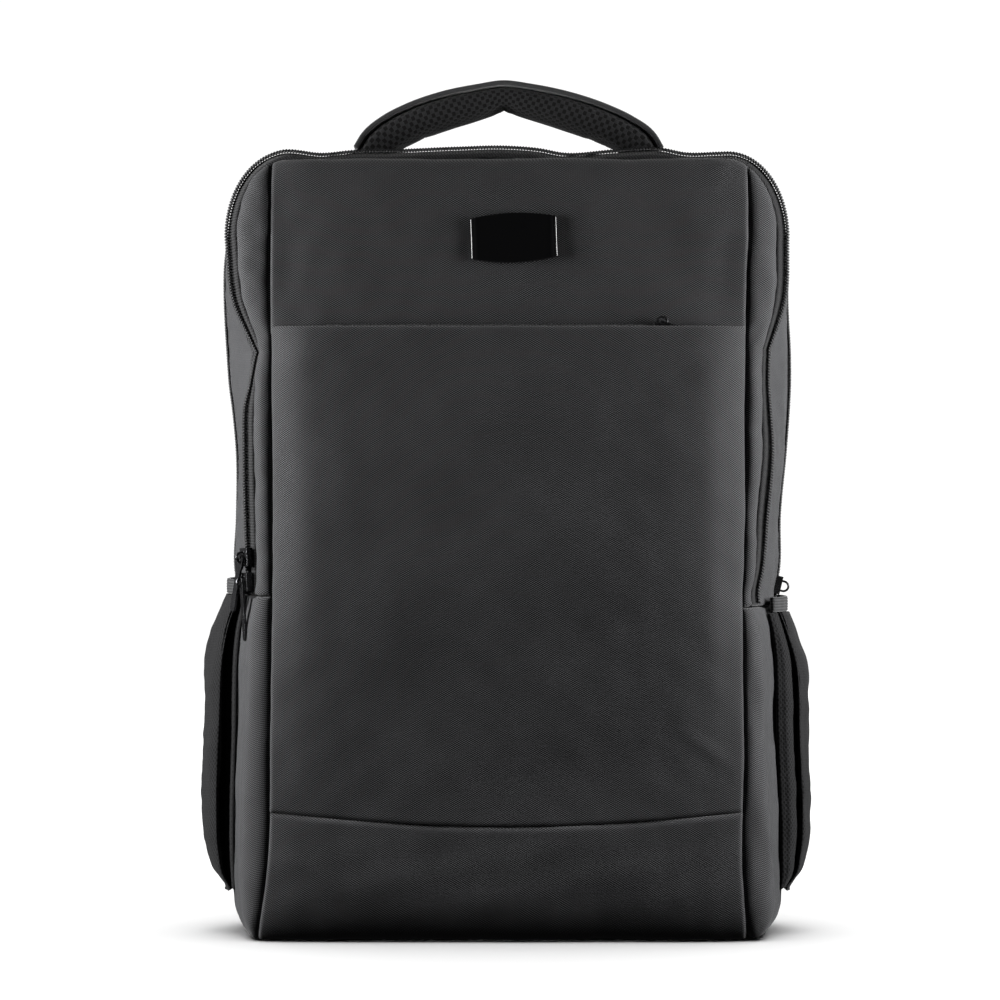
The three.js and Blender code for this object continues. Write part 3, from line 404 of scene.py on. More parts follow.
finish = {
    "twill": wovenMaterial("charcoalWeave", (0.001, 0.001, 0.0011), (0.098, 0.099, 0.105)),
    "tape": ribbedMaterial(
        "zipTape", (0.0015, 0.0015, 0.0015), (0.026, 0.026, 0.028), 0.0016, alongV=False, depth=0.0004,
    ),
    "band": ribbedMaterial("elasticBand", (0.006, 0.006, 0.0065), (0.042, 0.043, 0.045), 0.0016),
    "webbing": ribbedMaterial("webbing", (0.005, 0.005, 0.005), (0.03, 0.03, 0.032), 0.0016),
    "airMesh": meshMaterial("airMesh", (0.0004, 0.0004, 0.0004), (0.02, 0.02, 0.021), 0.0036, -0.05, 0.0006),
    "pocketMesh": meshMaterial(
        "pocketMesh", (0.0006, 0.0006, 0.0006), (0.0105, 0.0105, 0.0115), 0.0025, 0.0, 0.0005,
    ),
    "smooth": ribbedMaterial("smoothBinding", (0.008, 0.008, 0.008), (0.03, 0.03, 0.032), 0.0007, sheen=0.3),
    "teeth": hardMaterial("zipCoil", (0.012, 0.012, 0.013), 0.5),
    "metal": hardMaterial("gunmetal", (0.055, 0.055, 0.058), 0.24, metallic=0.9),
    "gloss": hardMaterial("glossPlate", (0.0025, 0.0025, 0.0028), 0.22, coat=0.15, wear=0.0),
    "plastic": hardMaterial("blackPlastic", (0.012, 0.012, 0.013), 0.42),
}
print("materials made:", len(finish))


# Meshes


def makeObject(name, vertices, faces, uvs, material, slot, node):
    mesh = bpy.data.meshes.new(name)
    mesh.from_pydata(np.asarray(vertices) * 0.001, [], faces if isinstance(faces, list) else faces.tolist())
    if uvs is not None:
        layer = mesh.uv_layers.new(name="cloth")
        loops = np.zeros(len(mesh.loops), int)
        mesh.loops.foreach_get("vertex_index", loops)
        corners = uvs if len(uvs) == len(loops) else uvs[loops]
        layer.data.foreach_set("uv", (corners * 0.001).ravel())
    mesh.polygons.foreach_set("use_smooth", np.ones(len(mesh.polygons), bool))
    mesh.validate()
    mesh.update()
    mesh.materials.append(finish[material])
    piece = bpy.data.objects.new(name, mesh)
    scene.collection.objects.link(piece)
    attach(piece, "bag")
    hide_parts(node)
    return piece


# Length along a path, as a running sum of its steps
def runAlong(path):
    return np.concatenate([[0], np.cumsum(np.linalg.norm(np.diff(path, axis=0), axis=1))])


# The same along a grid's rows and along its columns
def runningLengths(points):
    across = np.zeros(points.shape[:2])
    up = np.zeros(points.shape[:2])
    across[:, 1:] = np.cumsum(np.linalg.norm(np.diff(points, axis=1), axis=2), 1)
    up[1:] = np.cumsum(np.linalg.norm(np.diff(points, axis=0), axis=2), 0)
    return across, up


# Unit normals of a grid, cross of its two gradients, turned away from the bag's middle
def gridNormals(points, away=None):
    du = np.gradient(points, axis=1)
    dv = np.gradient(points, axis=0)
    normal = np.cross(du, dv)
    normal /= np.maximum(np.linalg.norm(normal, axis=2, keepdims=True), 1e-9)
    middle = np.array([0.0, 0.0, height / 2]) if away is None else np.asarray(away, float)
    if np.sum(normal * (points - middle)) < 0:
        normal = -normal
    return normal


# How far the turned-in edges of a cloth fall: depth * (1 - sqrt(1 - (1 - d / radius)^2)) at a distance d
def edgeFall(across, up, radii, depth):
    distances = (across, across[:, -1:] - across, up, up[-1:] - up)
    fall = np.zeros(across.shape)
    for distance, radius in zip(distances, radii):
        if radius:
            near = np.clip(1 - distance / radius, 0, 1)
            fall = np.maximum(fall, 1 - np.sqrt(1 - near**2))
    return depth * fall


def gridFaces(rows, columns):
    at = np.arange(rows * columns).reshape(rows, columns)
    return np.stack([at[:-1, :-1], at[:-1, 1:], at[1:, 1:], at[1:, :-1]], -1).reshape(-1, 4)


# A cloth with thickness: outer face = points + normal * (relief - fall), inner face = points - normal * wall
def clothPiece(
    name, points, node, slot="woven_fabric", material="twill", wall=1.9, radii=(3, 3, 3, 3), depth=1.5,
    relief=0.0, away=None, declare=True,
):
    normal = gridNormals(points, away)
    across, up = runningLengths(points)
    lift = relief - edgeFall(across, up, radii, depth)
    outer = points + normal * np.broadcast_to(lift, across.shape)[..., None]
    inner = outer - normal * wall
    rows, columns = across.shape
    count = rows * columns
    quads = gridFaces(rows, columns)
    first = outer.reshape(-1, 3)[quads[0]]
    faceNormal = np.cross(first[1] - first[0], first[2] - first[0])
    flip = np.dot(faceNormal, normal.reshape(-1, 3)[quads[0][0]]) < 0
    rim = np.concatenate([
        np.arange(columns),
        np.arange(1, rows) * columns + columns - 1,
        (rows - 1) * columns + np.arange(columns - 2, -1, -1),
        np.arange(rows - 2, 0, -1) * columns,
    ])
    nextRim = np.roll(rim, -1)
    sides = np.stack([nextRim, rim, rim + count, nextRim + count], -1)
    order = -1 if flip else 1
    faces = np.concatenate([quads[:, ::order], quads[:, ::-order] + count, sides[:, ::order]])
    uv = np.stack([across, up], -1).reshape(-1, 2)
    vertices = np.concatenate([outer.reshape(-1, 3), inner.reshape(-1, 3)])
    piece = makeObject(name, vertices, faces, np.concatenate([uv, uv]), material, slot, node)
    return piece


# A soft crease or ridge along a line in the front's plane: amount * exp(-(d / width)^2), faded at its ends
def crease(x, z, start, end, width, amount):
    start, end = np.array(start, float), np.array(end, float)
    along = end - start
    t = ((x - start[0]) * along[0] + (z - start[1]) * along[1]) / (along @ along)
    tc = np.clip(t, 0, 1)
    distance = np.hypot(x - start[0] - tc * along[0], z - start[1] - tc * along[1])
    taper = 0.35 + 0.65 * np.sin(np.pi * np.clip(tc, 0.03, 0.97))
    return amount * taper * np.exp(-((distance / width) ** 2))


# Smooth pseudo-random swell: a sum of a few slow waves
def swell(x, z, amount, size, seed):
    local = np.random.default_rng(seed)
    total = np.zeros(np.broadcast(x, z).shape)
    for _ in range(7):
        angle, phase = local.uniform(0, 2 * np.pi, 2)
        pace = local.uniform(0.6, 1.7) * 2 * np.pi / size
        total += np.sin(pace * (x * np.cos(angle) + z * np.sin(angle)) + phase)
    return amount * total / 3


def nameOf(side):
    return "left" if side < 0 else "right"


# A bar: sections |a / w|^p + |b / t|^p = 1 carried along a path, rounded off over endRound at its ends
def sweep(path, wide, face, halfWide, halfThick, power=3.0, around=32, endRound=0.0):
    path = np.asarray(path, float)
    run = runAlong(path)
    halfWide = np.broadcast_to(np.asarray(halfWide, float), run.shape).copy()
    halfThick = np.broadcast_to(np.asarray(halfThick, float), run.shape).copy()
    if endRound:
        end = np.clip(np.minimum(run, run[-1] - run) / endRound, 0, 1)
        shrink = np.sqrt(np.maximum(1 - (1 - end) ** 2, 0.0004))
        halfThick *= shrink
        halfWide -= np.minimum(halfWide * 0.5, endRound) * (1 - shrink)
    angle = np.arange(around) * 2 * np.pi / around
    a = np.sign(np.cos(angle)) * np.abs(np.cos(angle)) ** (2 / power)
    b = np.sign(np.sin(angle)) * np.abs(np.sin(angle)) ** (2 / power)
    points = path[:, None] + wide[:, None] * (halfWide[:, None] * a)[..., None]
    points = points + face[:, None] * (halfThick[:, None] * b)[..., None]
    return points, run


# Faces and corner UVs of a tube of rings, with a pole at each end
def tubeMesh(points, run):
    rings, around = points.shape[:2]
    girth = np.linalg.norm(np.diff(points, axis=1, append=points[:, :1]), axis=2)
    turn = np.concatenate([[0], np.cumsum(girth[rings // 2])])
    i, j = np.meshgrid(np.arange(rings - 1), np.arange(around), indexing="ij")
    nextJ = (j + 1) % around
    quads = np.stack([i * around + j, i * around + nextJ, (i + 1) * around + nextJ, (i + 1) * around + j], -1)
    uv = np.stack([
        np.stack([turn[j], run[i]], -1),
        np.stack([turn[j + 1], run[i]], -1),
        np.stack([turn[j + 1], run[i + 1]], -1),
        np.stack([turn[j], run[i + 1]], -1),
    ], -2)
    poles = np.stack([points[0].mean(0), points[-1].mean(0)])
    vertices = np.concatenate([points.reshape(-1, 3), poles])
    ring = np.arange(around)
    nextRing = (ring + 1) % around
    first = np.stack([nextRing, ring, np.full(around, rings * around)], -1)
    last = np.stack([ring, nextRing], -1) + (rings - 1) * around
    last = np.concatenate([last, np.full((around, 1), rings * around + 1)], 1)
    low, high = turn[:-1], turn[1:]

    def poleUv(sides, at):
        return np.stack([np.stack([side, np.full(around, at)], -1) for side in sides], -2)

    groups = (
        (quads.reshape(-1, 4), uv.reshape(-1, 4, 2)),
        (first, poleUv((high, low, low), run[0])),
        (last, poleUv((low, high, high), run[-1])),
    )
    section = points[rings // 2]
    faceNormal = np.cross(section[1] - section[0], points[rings // 2 + 1][0] - section[0])
    order = 1 if np.dot(faceNormal, section[0] - section.mean(0)) > 0 else -1
    faces = [face for corners, _ in groups for face in corners[:, ::order].tolist()]
    cornerUvs = np.concatenate([uvs[:, ::order].reshape(-1, 2) for _, uvs in groups])
    return vertices, faces, cornerUvs


def barPiece(name, points, run, node, slot, material):
    return makeObject(name, *tubeMesh(points, run), material, slot, node)


# Cloth simulation under pressure, its movement capped: fills out a padded piece between its pinned vertices
def puff(piece, pressure, limit, pinned, frames=14):
    mesh = piece.data
    start = np.zeros(len(mesh.vertices) * 3)
    mesh.vertices.foreach_get("co", start)
    start = start.reshape(-1, 3)
    cloth = piece.modifiers.new("pressure", "CLOTH")
    fabric = {
        "quality": 5, "mass": 0.25, "tension_stiffness": 14, "compression_stiffness": 6,
        "bending_stiffness": 0.4, "use_pressure": True, "uniform_pressure_force": pressure,
    }
    for key, value in fabric.items():
        setattr(cloth.settings, key, value)
    cloth.settings.effector_weights.gravity = 0
    group = piece.vertex_groups.new(name="pins")
    group.add(np.flatnonzero(pinned(start * 1000)).tolist(), 1.0, "REPLACE")
    cloth.settings.vertex_group_mass = "pins"
    for step in range(1, frames + 1):
        scene.frame_set(step)
    shaped = piece.evaluated_get(bpy.context.evaluated_depsgraph_get()).data
    end = np.zeros(len(shaped.vertices) * 3)
    shaped.vertices.foreach_get("co", end)
    move = end.reshape(-1, 3) - start
    far = np.maximum(np.linalg.norm(move, axis=1, keepdims=True), 1e-9)
    piece.modifiers.remove(cloth)
    scene.frame_set(1)
    mesh.vertices.foreach_set("co", (start + move * np.minimum(1, limit * 0.001 / far)).ravel())
    mesh.update()
    print("puffed", piece.name, "largest movement", round(float(far.max()) * 1000, 2), "mm")


# Path of rows read by a smooth curve through them, at even shares of its length
def smoothPath(points, count):
    points = np.asarray(points, float)
    run = runAlong(points)
    at = np.linspace(0, run[-1], count)
    return np.stack([readCurve(run, points[:, k], at) for k in range(points.shape[1])], -1)


# Gaussian smoothing along the columns of a grid, its ends kept: sigma in steps
def smoothColumns(points, sigma):
    reach = int(3 * sigma)
    kernel = np.exp(-0.5 * (np.arange(-reach, reach + 1) / sigma) ** 2)
    kernel /= kernel.sum()
    first, last = points[:, :1], points[:, -1:]
    before = 2 * first - points[:, reach:0:-1]
    after = 2 * last - points[:, -2 : -reach - 2 : -1]
    padded = np.concatenate([before, points, after], 1)
    return sum(k * padded[:, i : i + points.shape[1]] for i, k in enumerate(kernel))


def evenColumns(points, count):
    across = runningLengths(points)[0]
    across = across / across[:, -1:]
    at = np.linspace(0, 1, count)
    rows = []
    for run, row in zip(across, points):
        rows.append(np.stack([np.interp(at, run, row[:, k]) for k in range(3)], -1))
    return np.stack(rows)


# Front


frontColumns = 280


def frontGrid(heights, lifted):
    left = np.maximum(seamAt(-1, heights), -halfAt(-1, heights, grooveY) + 0.6) + 0.2
    right = np.minimum(seamAt(1, heights), halfAt(1, heights, grooveY) - 0.6) - 0.2
    x = mix(left, right, np.linspace(0, 1, frontColumns)[None])
    z = np.broadcast_to(heights, x.shape)
    y = frontY(x, z)
    if lifted:
        y = y - liftAt(x, z)
    return np.stack([x, y, z], -1)


def sagAt(u):
    return bag["lowerSeam"] - bag["lowerSag"] * np.sin(np.pi * u)


# Long soft dents and creases of the front: start, end (x, z), width, amount outward
frontCreases = {
    "upper": [
        ((-118, 352), (-128, 425), 9, -0.9), ((118, 352), (128, 425), 9, -0.9),
        ((-60, 345), (70, 347), 5, -0.6),
    ],
    "pocket": [
        ((-122, 95), (-126, 330), 8, -0.9), ((122, 100), (124, 330), 8, -0.9),
        ((126, 96), (96, 118), 5, 0.8), ((-128, 118), (-104, 96), 6, 0.5),
        ((-110, 330), (-70, 322), 6, 0.4), ((112, 330), (84, 318), 6, 0.5),
    ],
    "lower": [((-128, 52), (-96, 30), 6, 0.7), ((126, 48), (98, 26), 6, 0.7), ((-30, 22), (40, 20), 9, 0.4)],
}


def frontRelief(name, points, seed):
    x, z = points[..., 0], points[..., 2]
    total = swell(x, z, 0.5, 90, seed) + swell(x, z, 0.15, 30, seed + 1)
    for start, end, width, rise in frontCreases[name]:
        total = total + crease(x, z, start, end, width, rise)
    return total


def addPanel(word, heights, radii, depth, seed, lifted=False):
    points = frontGrid(heights, lifted)
    relief = frontRelief(word, points, seed)
    clothPiece(word + "Panel", points, "front_" + word + "_panel", radii=radii, depth=depth, relief=relief)


# Rows stand closer where the front rolls over: 0.55 f + 0.45 f^4
def addFront():
    u = np.linspace(0, 1, frontColumns)[None]
    rise = 1 - np.linspace(0, 1, 110)[:, None]
    upperZ = panelTop - (panelTop - bag["pocketSeam"] + 4) * (0.55 * rise + 0.45 * rise**4)
    addPanel("upper", upperZ, (2.5, 2.5, 0, 3), 1.3, 3)
    climb = np.linspace(0, 1, 240)[:, None]
    addPanel("pocket", mix(sagAt(u), bag["pocketSeam"], climb), (2.5, 2.5, 3, 4), 1.5, 5, lifted=True)
    fall = np.linspace(0, 1, 100)[:, None]
    lowerZ = 0.3 + (sagAt(u) - 0.3) * (0.55 * fall + 0.45 * fall**4)
    addPanel("lower", lowerZ, (2.5, 2.5, 0, 3), 1.5, 8)
    print("front panels made")


# Steps that get finer toward 1: 1 - (1 - f) / 2 - (1 - f)^3 / 2
def finerAtEnd(f):
    return 1 - (0.5 * (1 - f) + 0.5 * (1 - f) ** 3)


# Heights of the first fifth of the rows, round the bottom edge
def bottomRows(f):
    return 20 * (1 - np.cos(f / 0.2 * np.pi / 2)) + 0.3


def addStrip(side):
    z = mix(bag["zipEnd"][side] + 0.3, height - 8.2, np.linspace(0, 1, 230))[:, None]
    out = finerAtEnd(np.linspace(0, 1, 34)[None])
    seam = np.abs(seamAt(side, z)) + 0.3
    edge = np.maximum(halfAt(side, z, grooveY) - 0.4, seam + 0.5)
    x = side * mix(seam, edge, out)
    zs = np.broadcast_to(z, x.shape)
    points = np.stack([x, frontY(x, zs), zs], -1)
    relief = swell(x, zs, 0.35, 45, 20 + side) + swell(x, zs, 0.25, 18, 24 + side)
    word = nameOf(side)
    relief = relief + crease(x, zs, (side * 142, 345), (side * 134, 331), 3.5, -0.8)
    relief = relief + crease(x, zs, (side * 138, 330), (side * 136, 250), 3, 0.5)
    node = "front_strip_" + word
    clothPiece("edgeStrip_" + word, points, node, radii=(6, 3, 1.5, 0), depth=2.8, relief=relief)


def addSidePanel(side):
    f = np.linspace(0, 1, 150)
    upperRows = mix(20.3, bag["zipEnd"][side] - 0.3, (f - 0.2) / 0.8)
    z = np.where(f < 0.2, bottomRows(f), upperRows)[:, None]
    edge = halfAt(side, z, grooveY)
    x = side * mix(np.abs(seamAt(side, z)) + 0.3, edge, finerAtEnd(np.linspace(0, 1, 60)[None]))
    zs = np.broadcast_to(z, x.shape)
    front = np.stack([x, frontY(x, zs), zs], -1)
    y = np.linspace(grooveY + 0.5, backY, 110)[None]
    flank = np.stack(np.broadcast_arrays(side * halfAt(side, z, y), y, z), -1)
    points = evenColumns(np.concatenate([front, flank], 1), 150)
    points = smoothColumns(points, 3.2)
    x, y, zs = points[..., 0], points[..., 1], points[..., 2]
    relief = swell(y * 0.8 + x, zs, 0.5, 60, 30 + side) + swell(y + x, zs, 0.25, 24, 34 + side)
    word = nameOf(side)
    node = "side_panel_" + word
    clothPiece("sidePanel_" + word, points, node, radii=(6, 2, 0, 2), depth=2.4, relief=relief)


def addBase():
    y = np.linspace(grooveY + 0.5, backY - 0.5, 60)[:, None]
    u = np.linspace(0, 1, 150)[None]
    left, right = halfAt(-1, 0.3, y) - 0.5, halfAt(1, 0.3, y) - 0.5
    x = mix(-left, right, u)
    points = np.stack(np.broadcast_arrays(x, y, 0.15), -1)
    clothPiece("basePanel", points, "bottom_panel", radii=(2, 2, 2, 2), depth=1.2, material="webbing")


# Zips and gussets


def addArch(name, node, fromY, toY, rows, kind, radii, depth, relief):
    a = np.linspace(0, 1, 560)[None]
    y = np.linspace(fromY + 0.2, toY - 0.2, rows)[:, None]
    points = archPoint(a, y)
    clothPiece(name, points, node, *kind, radii, depth, relief(points))


# Teeth of a coil: two staggered rows of rounded beads, as ellipsoids in the tape's own directions
def addTeeth(name, node, centres, along, across, out, size):
    rings, around = 3, 8
    ringAngle = np.linspace(0, np.pi, rings + 2)[1:-1][:, None]
    turn = np.arange(around) * 2 * np.pi / around
    ball = np.stack([
        np.sin(ringAngle) * np.cos(turn),
        np.sin(ringAngle) * np.sin(turn),
        np.cos(ringAngle) * np.ones(around),
    ], -1).reshape(-1, 3)
    ball = np.concatenate([ball, [[0, 0, 1], [0, 0, -1]]])
    j = np.arange(around)
    nextJ = (j + 1) % around
    shape = []
    for near in range(0, (rings - 1) * around, around):
        far = near + around
        shape += np.stack([near + j, far + j, far + nextJ, near + nextJ], -1).tolist()
    top = rings * around
    lastRing = top - around
    shape += [[top, int(a), int(b)] for a, b in zip(j, nextJ)]
    shape += [[top + 1, int(b) + lastRing, int(a) + lastRing] for a, b in zip(j, nextJ)]
    vertices = centres[:, None]
    vertices = vertices + along[:, None] * (ball[:, 0] * size[0])[None, :, None]
    vertices = vertices + across[:, None] * (ball[:, 2] * size[1])[None, :, None]
    vertices = vertices + out[:, None] * (ball[:, 1] * size[2])[None, :, None]
    turned = np.dot(np.cross(along[0], out[0]), across[0]) < 0
    count = len(ball)
    if turned:
        shape = [face[::-1] for face in shape]
    every = [[v + n * count for v in face] for n in range(len(centres)) for face in shape]
    makeObject(name, vertices.reshape(-1, 3), every, None, "teeth", "zip_coil", node)


def unit(v):
    return v / np.linalg.norm(v, axis=-1, keepdims=True)


def addArchTeeth(name, node, y, lift=1.15, pitch=1.6):
    dense = archPoint(np.linspace(0, 1, 4000), y)
    run = runAlong(dense)
    count = int(run[-1] / pitch) * 2
    at = np.interp((np.arange(count) + 0.5) * pitch / 2, run, np.linspace(0, 1, 4000))
    row = np.where(np.arange(count) % 2, 0.85, -0.85)
    point = archPoint(at, y)
    along = unit(archPoint(np.clip(at + 0.002, 0, 1), y) - archPoint(np.clip(at - 0.002, 0, 1), y))
    across = unit(archPoint(at, y + 1.5) - archPoint(at, y - 1.5))
    out = unit(np.cross(along, across))
    out = out * np.sign(np.sum(out * (point - [0, 0, height / 2]), -1, keepdims=True))
    across = unit(across - along * np.sum(across * along, -1, keepdims=True))
    centres = point + out * lift + across * row[:, None]
    addTeeth(name, node, centres, along, across, out, (0.74, 1.15, 1.05))


# Fine ribs along a tape: 0.12 * sin(2 pi * up / 1.5)
def ribs(points):
    return 0.12 * np.sin(2 * np.pi * runningLengths(points)[1] / 1.5)


def gussetSwell(points):
    across, y = runningLengths(points)[0], points[..., 1]
    return swell(across * 0.6, y * 1.4, 0.5, 55, 41) + swell(across, y, 0.2, 20, 43)


def addZips():
    tape = ("tape_and_elastic", "tape", 0.9)
    cloth = ("woven_fabric", "twill", 1.9)
    addArch("frontTape", "front_zip_tape", grooveY, gussetY, 16, tape, (1, 1, 2, 0), 1.6, ribs)
    addArch("middleGusset", "middle_gusset", gussetY, rearZipY, 46, cloth, (1.5, 1.5, 3, 3), 1.2, gussetSwell)
    addArch("rearTape", "rear_zip_tape", rearZipY, rearGussetY, 16, tape, (1, 1, 0, 0), 0.5, ribs)
    addArch("rearGusset", "rear_gusset", rearGussetY, backY, 36, cloth, (1.5, 1.5, 3, 2), 1.2, gussetSwell)
    addArchTeeth("frontTeeth", "front_zip_coil", zipY)
    addArchTeeth("rearTeeth", "rear_zip_coil", (rearZipY + rearGussetY) / 2)
    print("zips and gussets made")


pocketZip = {"slider": 0.517 * halfWidth, "drop": 0.8, "slope": 20.0, "half": 100.0}


def addPocketZip():
    start = pocketZip["slider"] - 5
    x = np.linspace(-pocketZip["half"], start + 23, 170)
    slope = np.tan(np.radians(pocketZip["slope"]))
    z = bag["pocketSeam"] - pocketZip["drop"] - slope * np.clip(x - start, 0, 40)
    edge = frontY(x, np.full_like(x, bag["pocketSeam"]))
    lift = liftAt(x, np.full_like(x, bag["pocketSeam"]))
    v = np.linspace(0, 1, 10)[:, None]
    y = mix(edge - lift + 2.7, edge + 2.2, v)
    points = np.stack(np.broadcast_arrays(x[None], y, z[None]), -1)
    kind = ("tape_and_elastic", "tape", 0.8)
    clothPiece("pocketTape", points, "pocket_zip_tape", *kind, (1, 1, 0, 0), 0.4, away=(0, 0, 0))
    coilY = float(frontY(np.array(pocketZip["slider"]), np.array(bag["pocketSeam"]))) - 2.9
    at = np.arange(-99, start + 22, 0.7)
    row = np.where(np.arange(len(at)) % 2, 0.6, -0.6)
    zs = np.interp(at, x, z) + 1.2
    centres = np.stack([at, coilY + row, zs], -1)
    along = np.tile([1.0, 0, 0], (len(at), 1))
    across = np.tile([0, 1.0, 0], (len(at), 1))
    out = np.tile([0, 0, 1.0], (len(at), 1))
    addTeeth("pocketTeeth", "pocket_zip_coil", centres, along, across, out, (0.55, 0.85, 0.9))


# Back, handle, straps


def addBack():
    f = np.linspace(0, 1, 120)
    top = height - bag["insets"][3]
    z = np.select([f < 0.2, f > 0.8], [
        bottomRows(f),
        mix(topCornerStart, top, np.sin((f - 0.8) / 0.2 * np.pi / 2)),
    ], mix(20.3, topCornerStart, (f - 0.2) / 0.6))[:, None]
    u = np.linspace(0, 1, 110)[None]
    x = mix(-halfAt(-1, z, backY), halfAt(1, z, backY), u)
    zs = np.broadcast_to(z, x.shape)
    rise = mix(0.2, 1, dome(u, 6) * dome(zs / top, 6))
    points = np.stack([x, backY + 0.3 + 12.6 * rise, zs], -1)
    relief = swell(x, zs, 0.4, 80, 50)
    piece = clothPiece(
        "backPad", points, "back_panel", "mesh_fabric", "airMesh", 2.4,
        relief=relief, away=(0, 0, height / 2), declare=False,
    )
    puff(piece, 1.2, 1.5, lambda p: p[:, 1] < backY + 6)


handle = {
    "span": 147.0, "rise": 40.5, "depth": 31.0, "base": 439.9, "y": -9.55,
    "cover": 3.6, "coverDepth": 29.0,  # the smooth strip's thickness and depth
}
# Rows of the handle's upper line: across, up, thickness
handleTable = np.array([
    [-1.07, 0, 19.5], [-1.0, 0.18, 20.5], [-0.885, 0.345, 20.5], [-0.73, 0.5, 19.8], [-0.47, 0.67, 19.3],
    [-0.21, 0.79, 17.5], [-0.03, 0.872, 14.8], [0.17, 0.8, 17], [0.46, 0.66, 19.3], [0.73, 0.49, 19.8],
    [0.905, 0.33, 20.5], [1.03, 0.17, 20.5], [1.09, 0, 20],
])


def addHandle():
    line = smoothPath(handleTable * [handle["span"] / 2, handle["rise"], 1], 130)
    path = np.stack([line[:, 0], np.full(len(line), handle["y"]), handle["base"] + line[:, 1]], -1)
    along = unit(np.gradient(path, axis=0))
    up = np.stack([-along[:, 2], np.zeros(len(path)), along[:, 0]], -1)
    depth = np.tile([0, 1.0, 0], (len(path), 1))
    thick = line[:, 2]
    gripMiddle = path - up * (handle["cover"] / 2 + 0.15)
    halfThick = (thick - handle["cover"]) / 2 - 0.15
    points, run = sweep(gripMiddle, depth, up, handle["depth"] / 2, halfThick, 4.5, 64)
    grip = barPiece("handleGrip", points, run, "handle_grip", "mesh_fabric", "airMesh")
    puff(grip, 4, 1.6, lambda p: p[:, 2] < handle["base"] + 3)
    middle = path + up * (thick / 2 - handle["cover"] / 2)[:, None]
    points, run = sweep(middle, depth, up, handle["coverDepth"] / 2, handle["cover"] / 2, 5, 48)
    cover = barPiece("handleStrip", points, run, "handle_cover", "woven_fabric", "smooth")
    print("handle made")


strap = {
    "pad": 10.0, "width": 60.0, "taper": 0.75, "bow": 24.0, "top": 418.0, "end": 158.0,
    "topAcross": 0.271 * halfWidth, "endAcross": 0.54 * halfWidth, "anchorAcross": 0.69 * halfWidth,
    "adjuster": 38.0, "adjusterHeight": 30.0, "webbing": 25.0, "anchorTop": 64.0, "anchorThick": 2.4,
}


def strapPoint(side, f, off):
    x = side * mix(strap["topAcross"], strap["endAcross"], ease(f))
    z = mix(strap["top"], strap["end"], f)
    bow = np.sin(np.pi * 0.86 * f**0.8)
    return np.stack([x, bag["backFaceY"] + 0.3 + off + strap["bow"] * bow, z], -1)


def addStrap(side):
    word = nameOf(side)
    f = np.linspace(0, 1, 90)
    path = strapPoint(side, f, strap["pad"] / 2)
    anchorY = bag["backFaceY"] + 0.3 + strap["anchorThick"] / 2
    anchor = np.array([side * strap["anchorAcross"], anchorY, strap["anchorTop"]])
    along = unit(np.gradient(path, axis=0))
    wide = unit(np.cross([0, 1.0, 0], along))
    face = np.cross(along, wide)
    narrowing = ease((f - strap["taper"]) / (1 - strap["taper"]))
    half = mix(strap["width"], strap["adjuster"], narrowing) / 2
    points, run = sweep(path, wide, face, half, strap["pad"] / 2, 4, 56, 3)
    pad = barPiece("strapPad_" + word, points, run, "strap_pad_" + word, "mesh_fabric", "airMesh")
    puff(pad, 4, 2, lambda p: (p[:, 2] > strap["top"] - 2) | (p[:, 2] < strap["end"] + 2))
    down = unit(anchor - path[-1])
    start = path[-1] + down * (strap["adjusterHeight"] + 0.6)
    t = np.linspace(0, 1, 50)[:, None]
    line = start + (anchor - start) * t
    wide = np.tile(unit(np.cross([0, 1.0, 0], down)), (50, 1))
    wide = unit(mix(wide, np.array([-1.0, 0, 0]), ease((t - 0.5) * 2)))
    face = unit(np.cross(unit(np.gradient(line, axis=0)), wide))
    points, run = sweep(line, wide, face, strap["webbing"] / 2, 0.8, 8, 40)
    node = "strap_webbing_" + word
    web = barPiece("webbing_" + word, points, run, node, "webbing", "webbing")
    v = np.linspace(0, 1, 40)[:, None]
    u = np.linspace(-1, 1, 50)[None]
    x = side * strap["anchorAcross"] + u * mix(20, 12.5, v)
    points = np.stack(np.broadcast_arrays(x, bag["backFaceY"] + 2.6, 30 + 33.7 * v), -1)
    clothPiece(
        "anchor_" + word, points, "strap_anchor_" + word, wall=2.2,
        radii=(1.2, 1.2, 1.2, 1.2), depth=0.8, away=(0, 0, height / 2),
    )


# Plate, side pockets

plate = {
    "width": 48.0, "height": 22.5, "bow": 2.6, "across": 3.8, "centre": 390.5, "turn": 2.0,
    "faceY": -68.6, "lean": 0.055, "rimAt": 21.0,  # lean is depth per height
}


def addPlate():
    u = np.linspace(-1, 1, 160)[None]
    v = np.linspace(-1, 1, 90)[:, None]
    x = u * plate["width"] / 2 * np.ones_like(v)
    z = v * (plate["height"] / 2 + plate["bow"] * (1 - u**2))
    turn = np.radians(plate["turn"])
    worldX = plate["across"] + x * np.cos(turn) - z * np.sin(turn)
    worldZ = plate["centre"] + x * np.sin(turn) + z * np.cos(turn)
    endRoll = np.clip((np.abs(x) - 21.2) / 2.8, 0, 1)
    rim = 0.22 * np.exp(-(((np.abs(x) - plate["rimAt"]) / 0.45) ** 2))
    relief = 0.5 * (1 - u**2) * (1 - v**2) - 0.5 * endRoll**2 + rim
    points = np.stack([worldX, plate["faceY"] + (worldZ - plate["centre"]) * plate["lean"], worldZ], -1)
    clothPiece(
        "namePlate", points, "name_plate", "gloss_plate", "gloss", 1.9,
        (0.8, 0.8, 0.9, 0.9), 0.8, relief=relief, declare=False,
    )


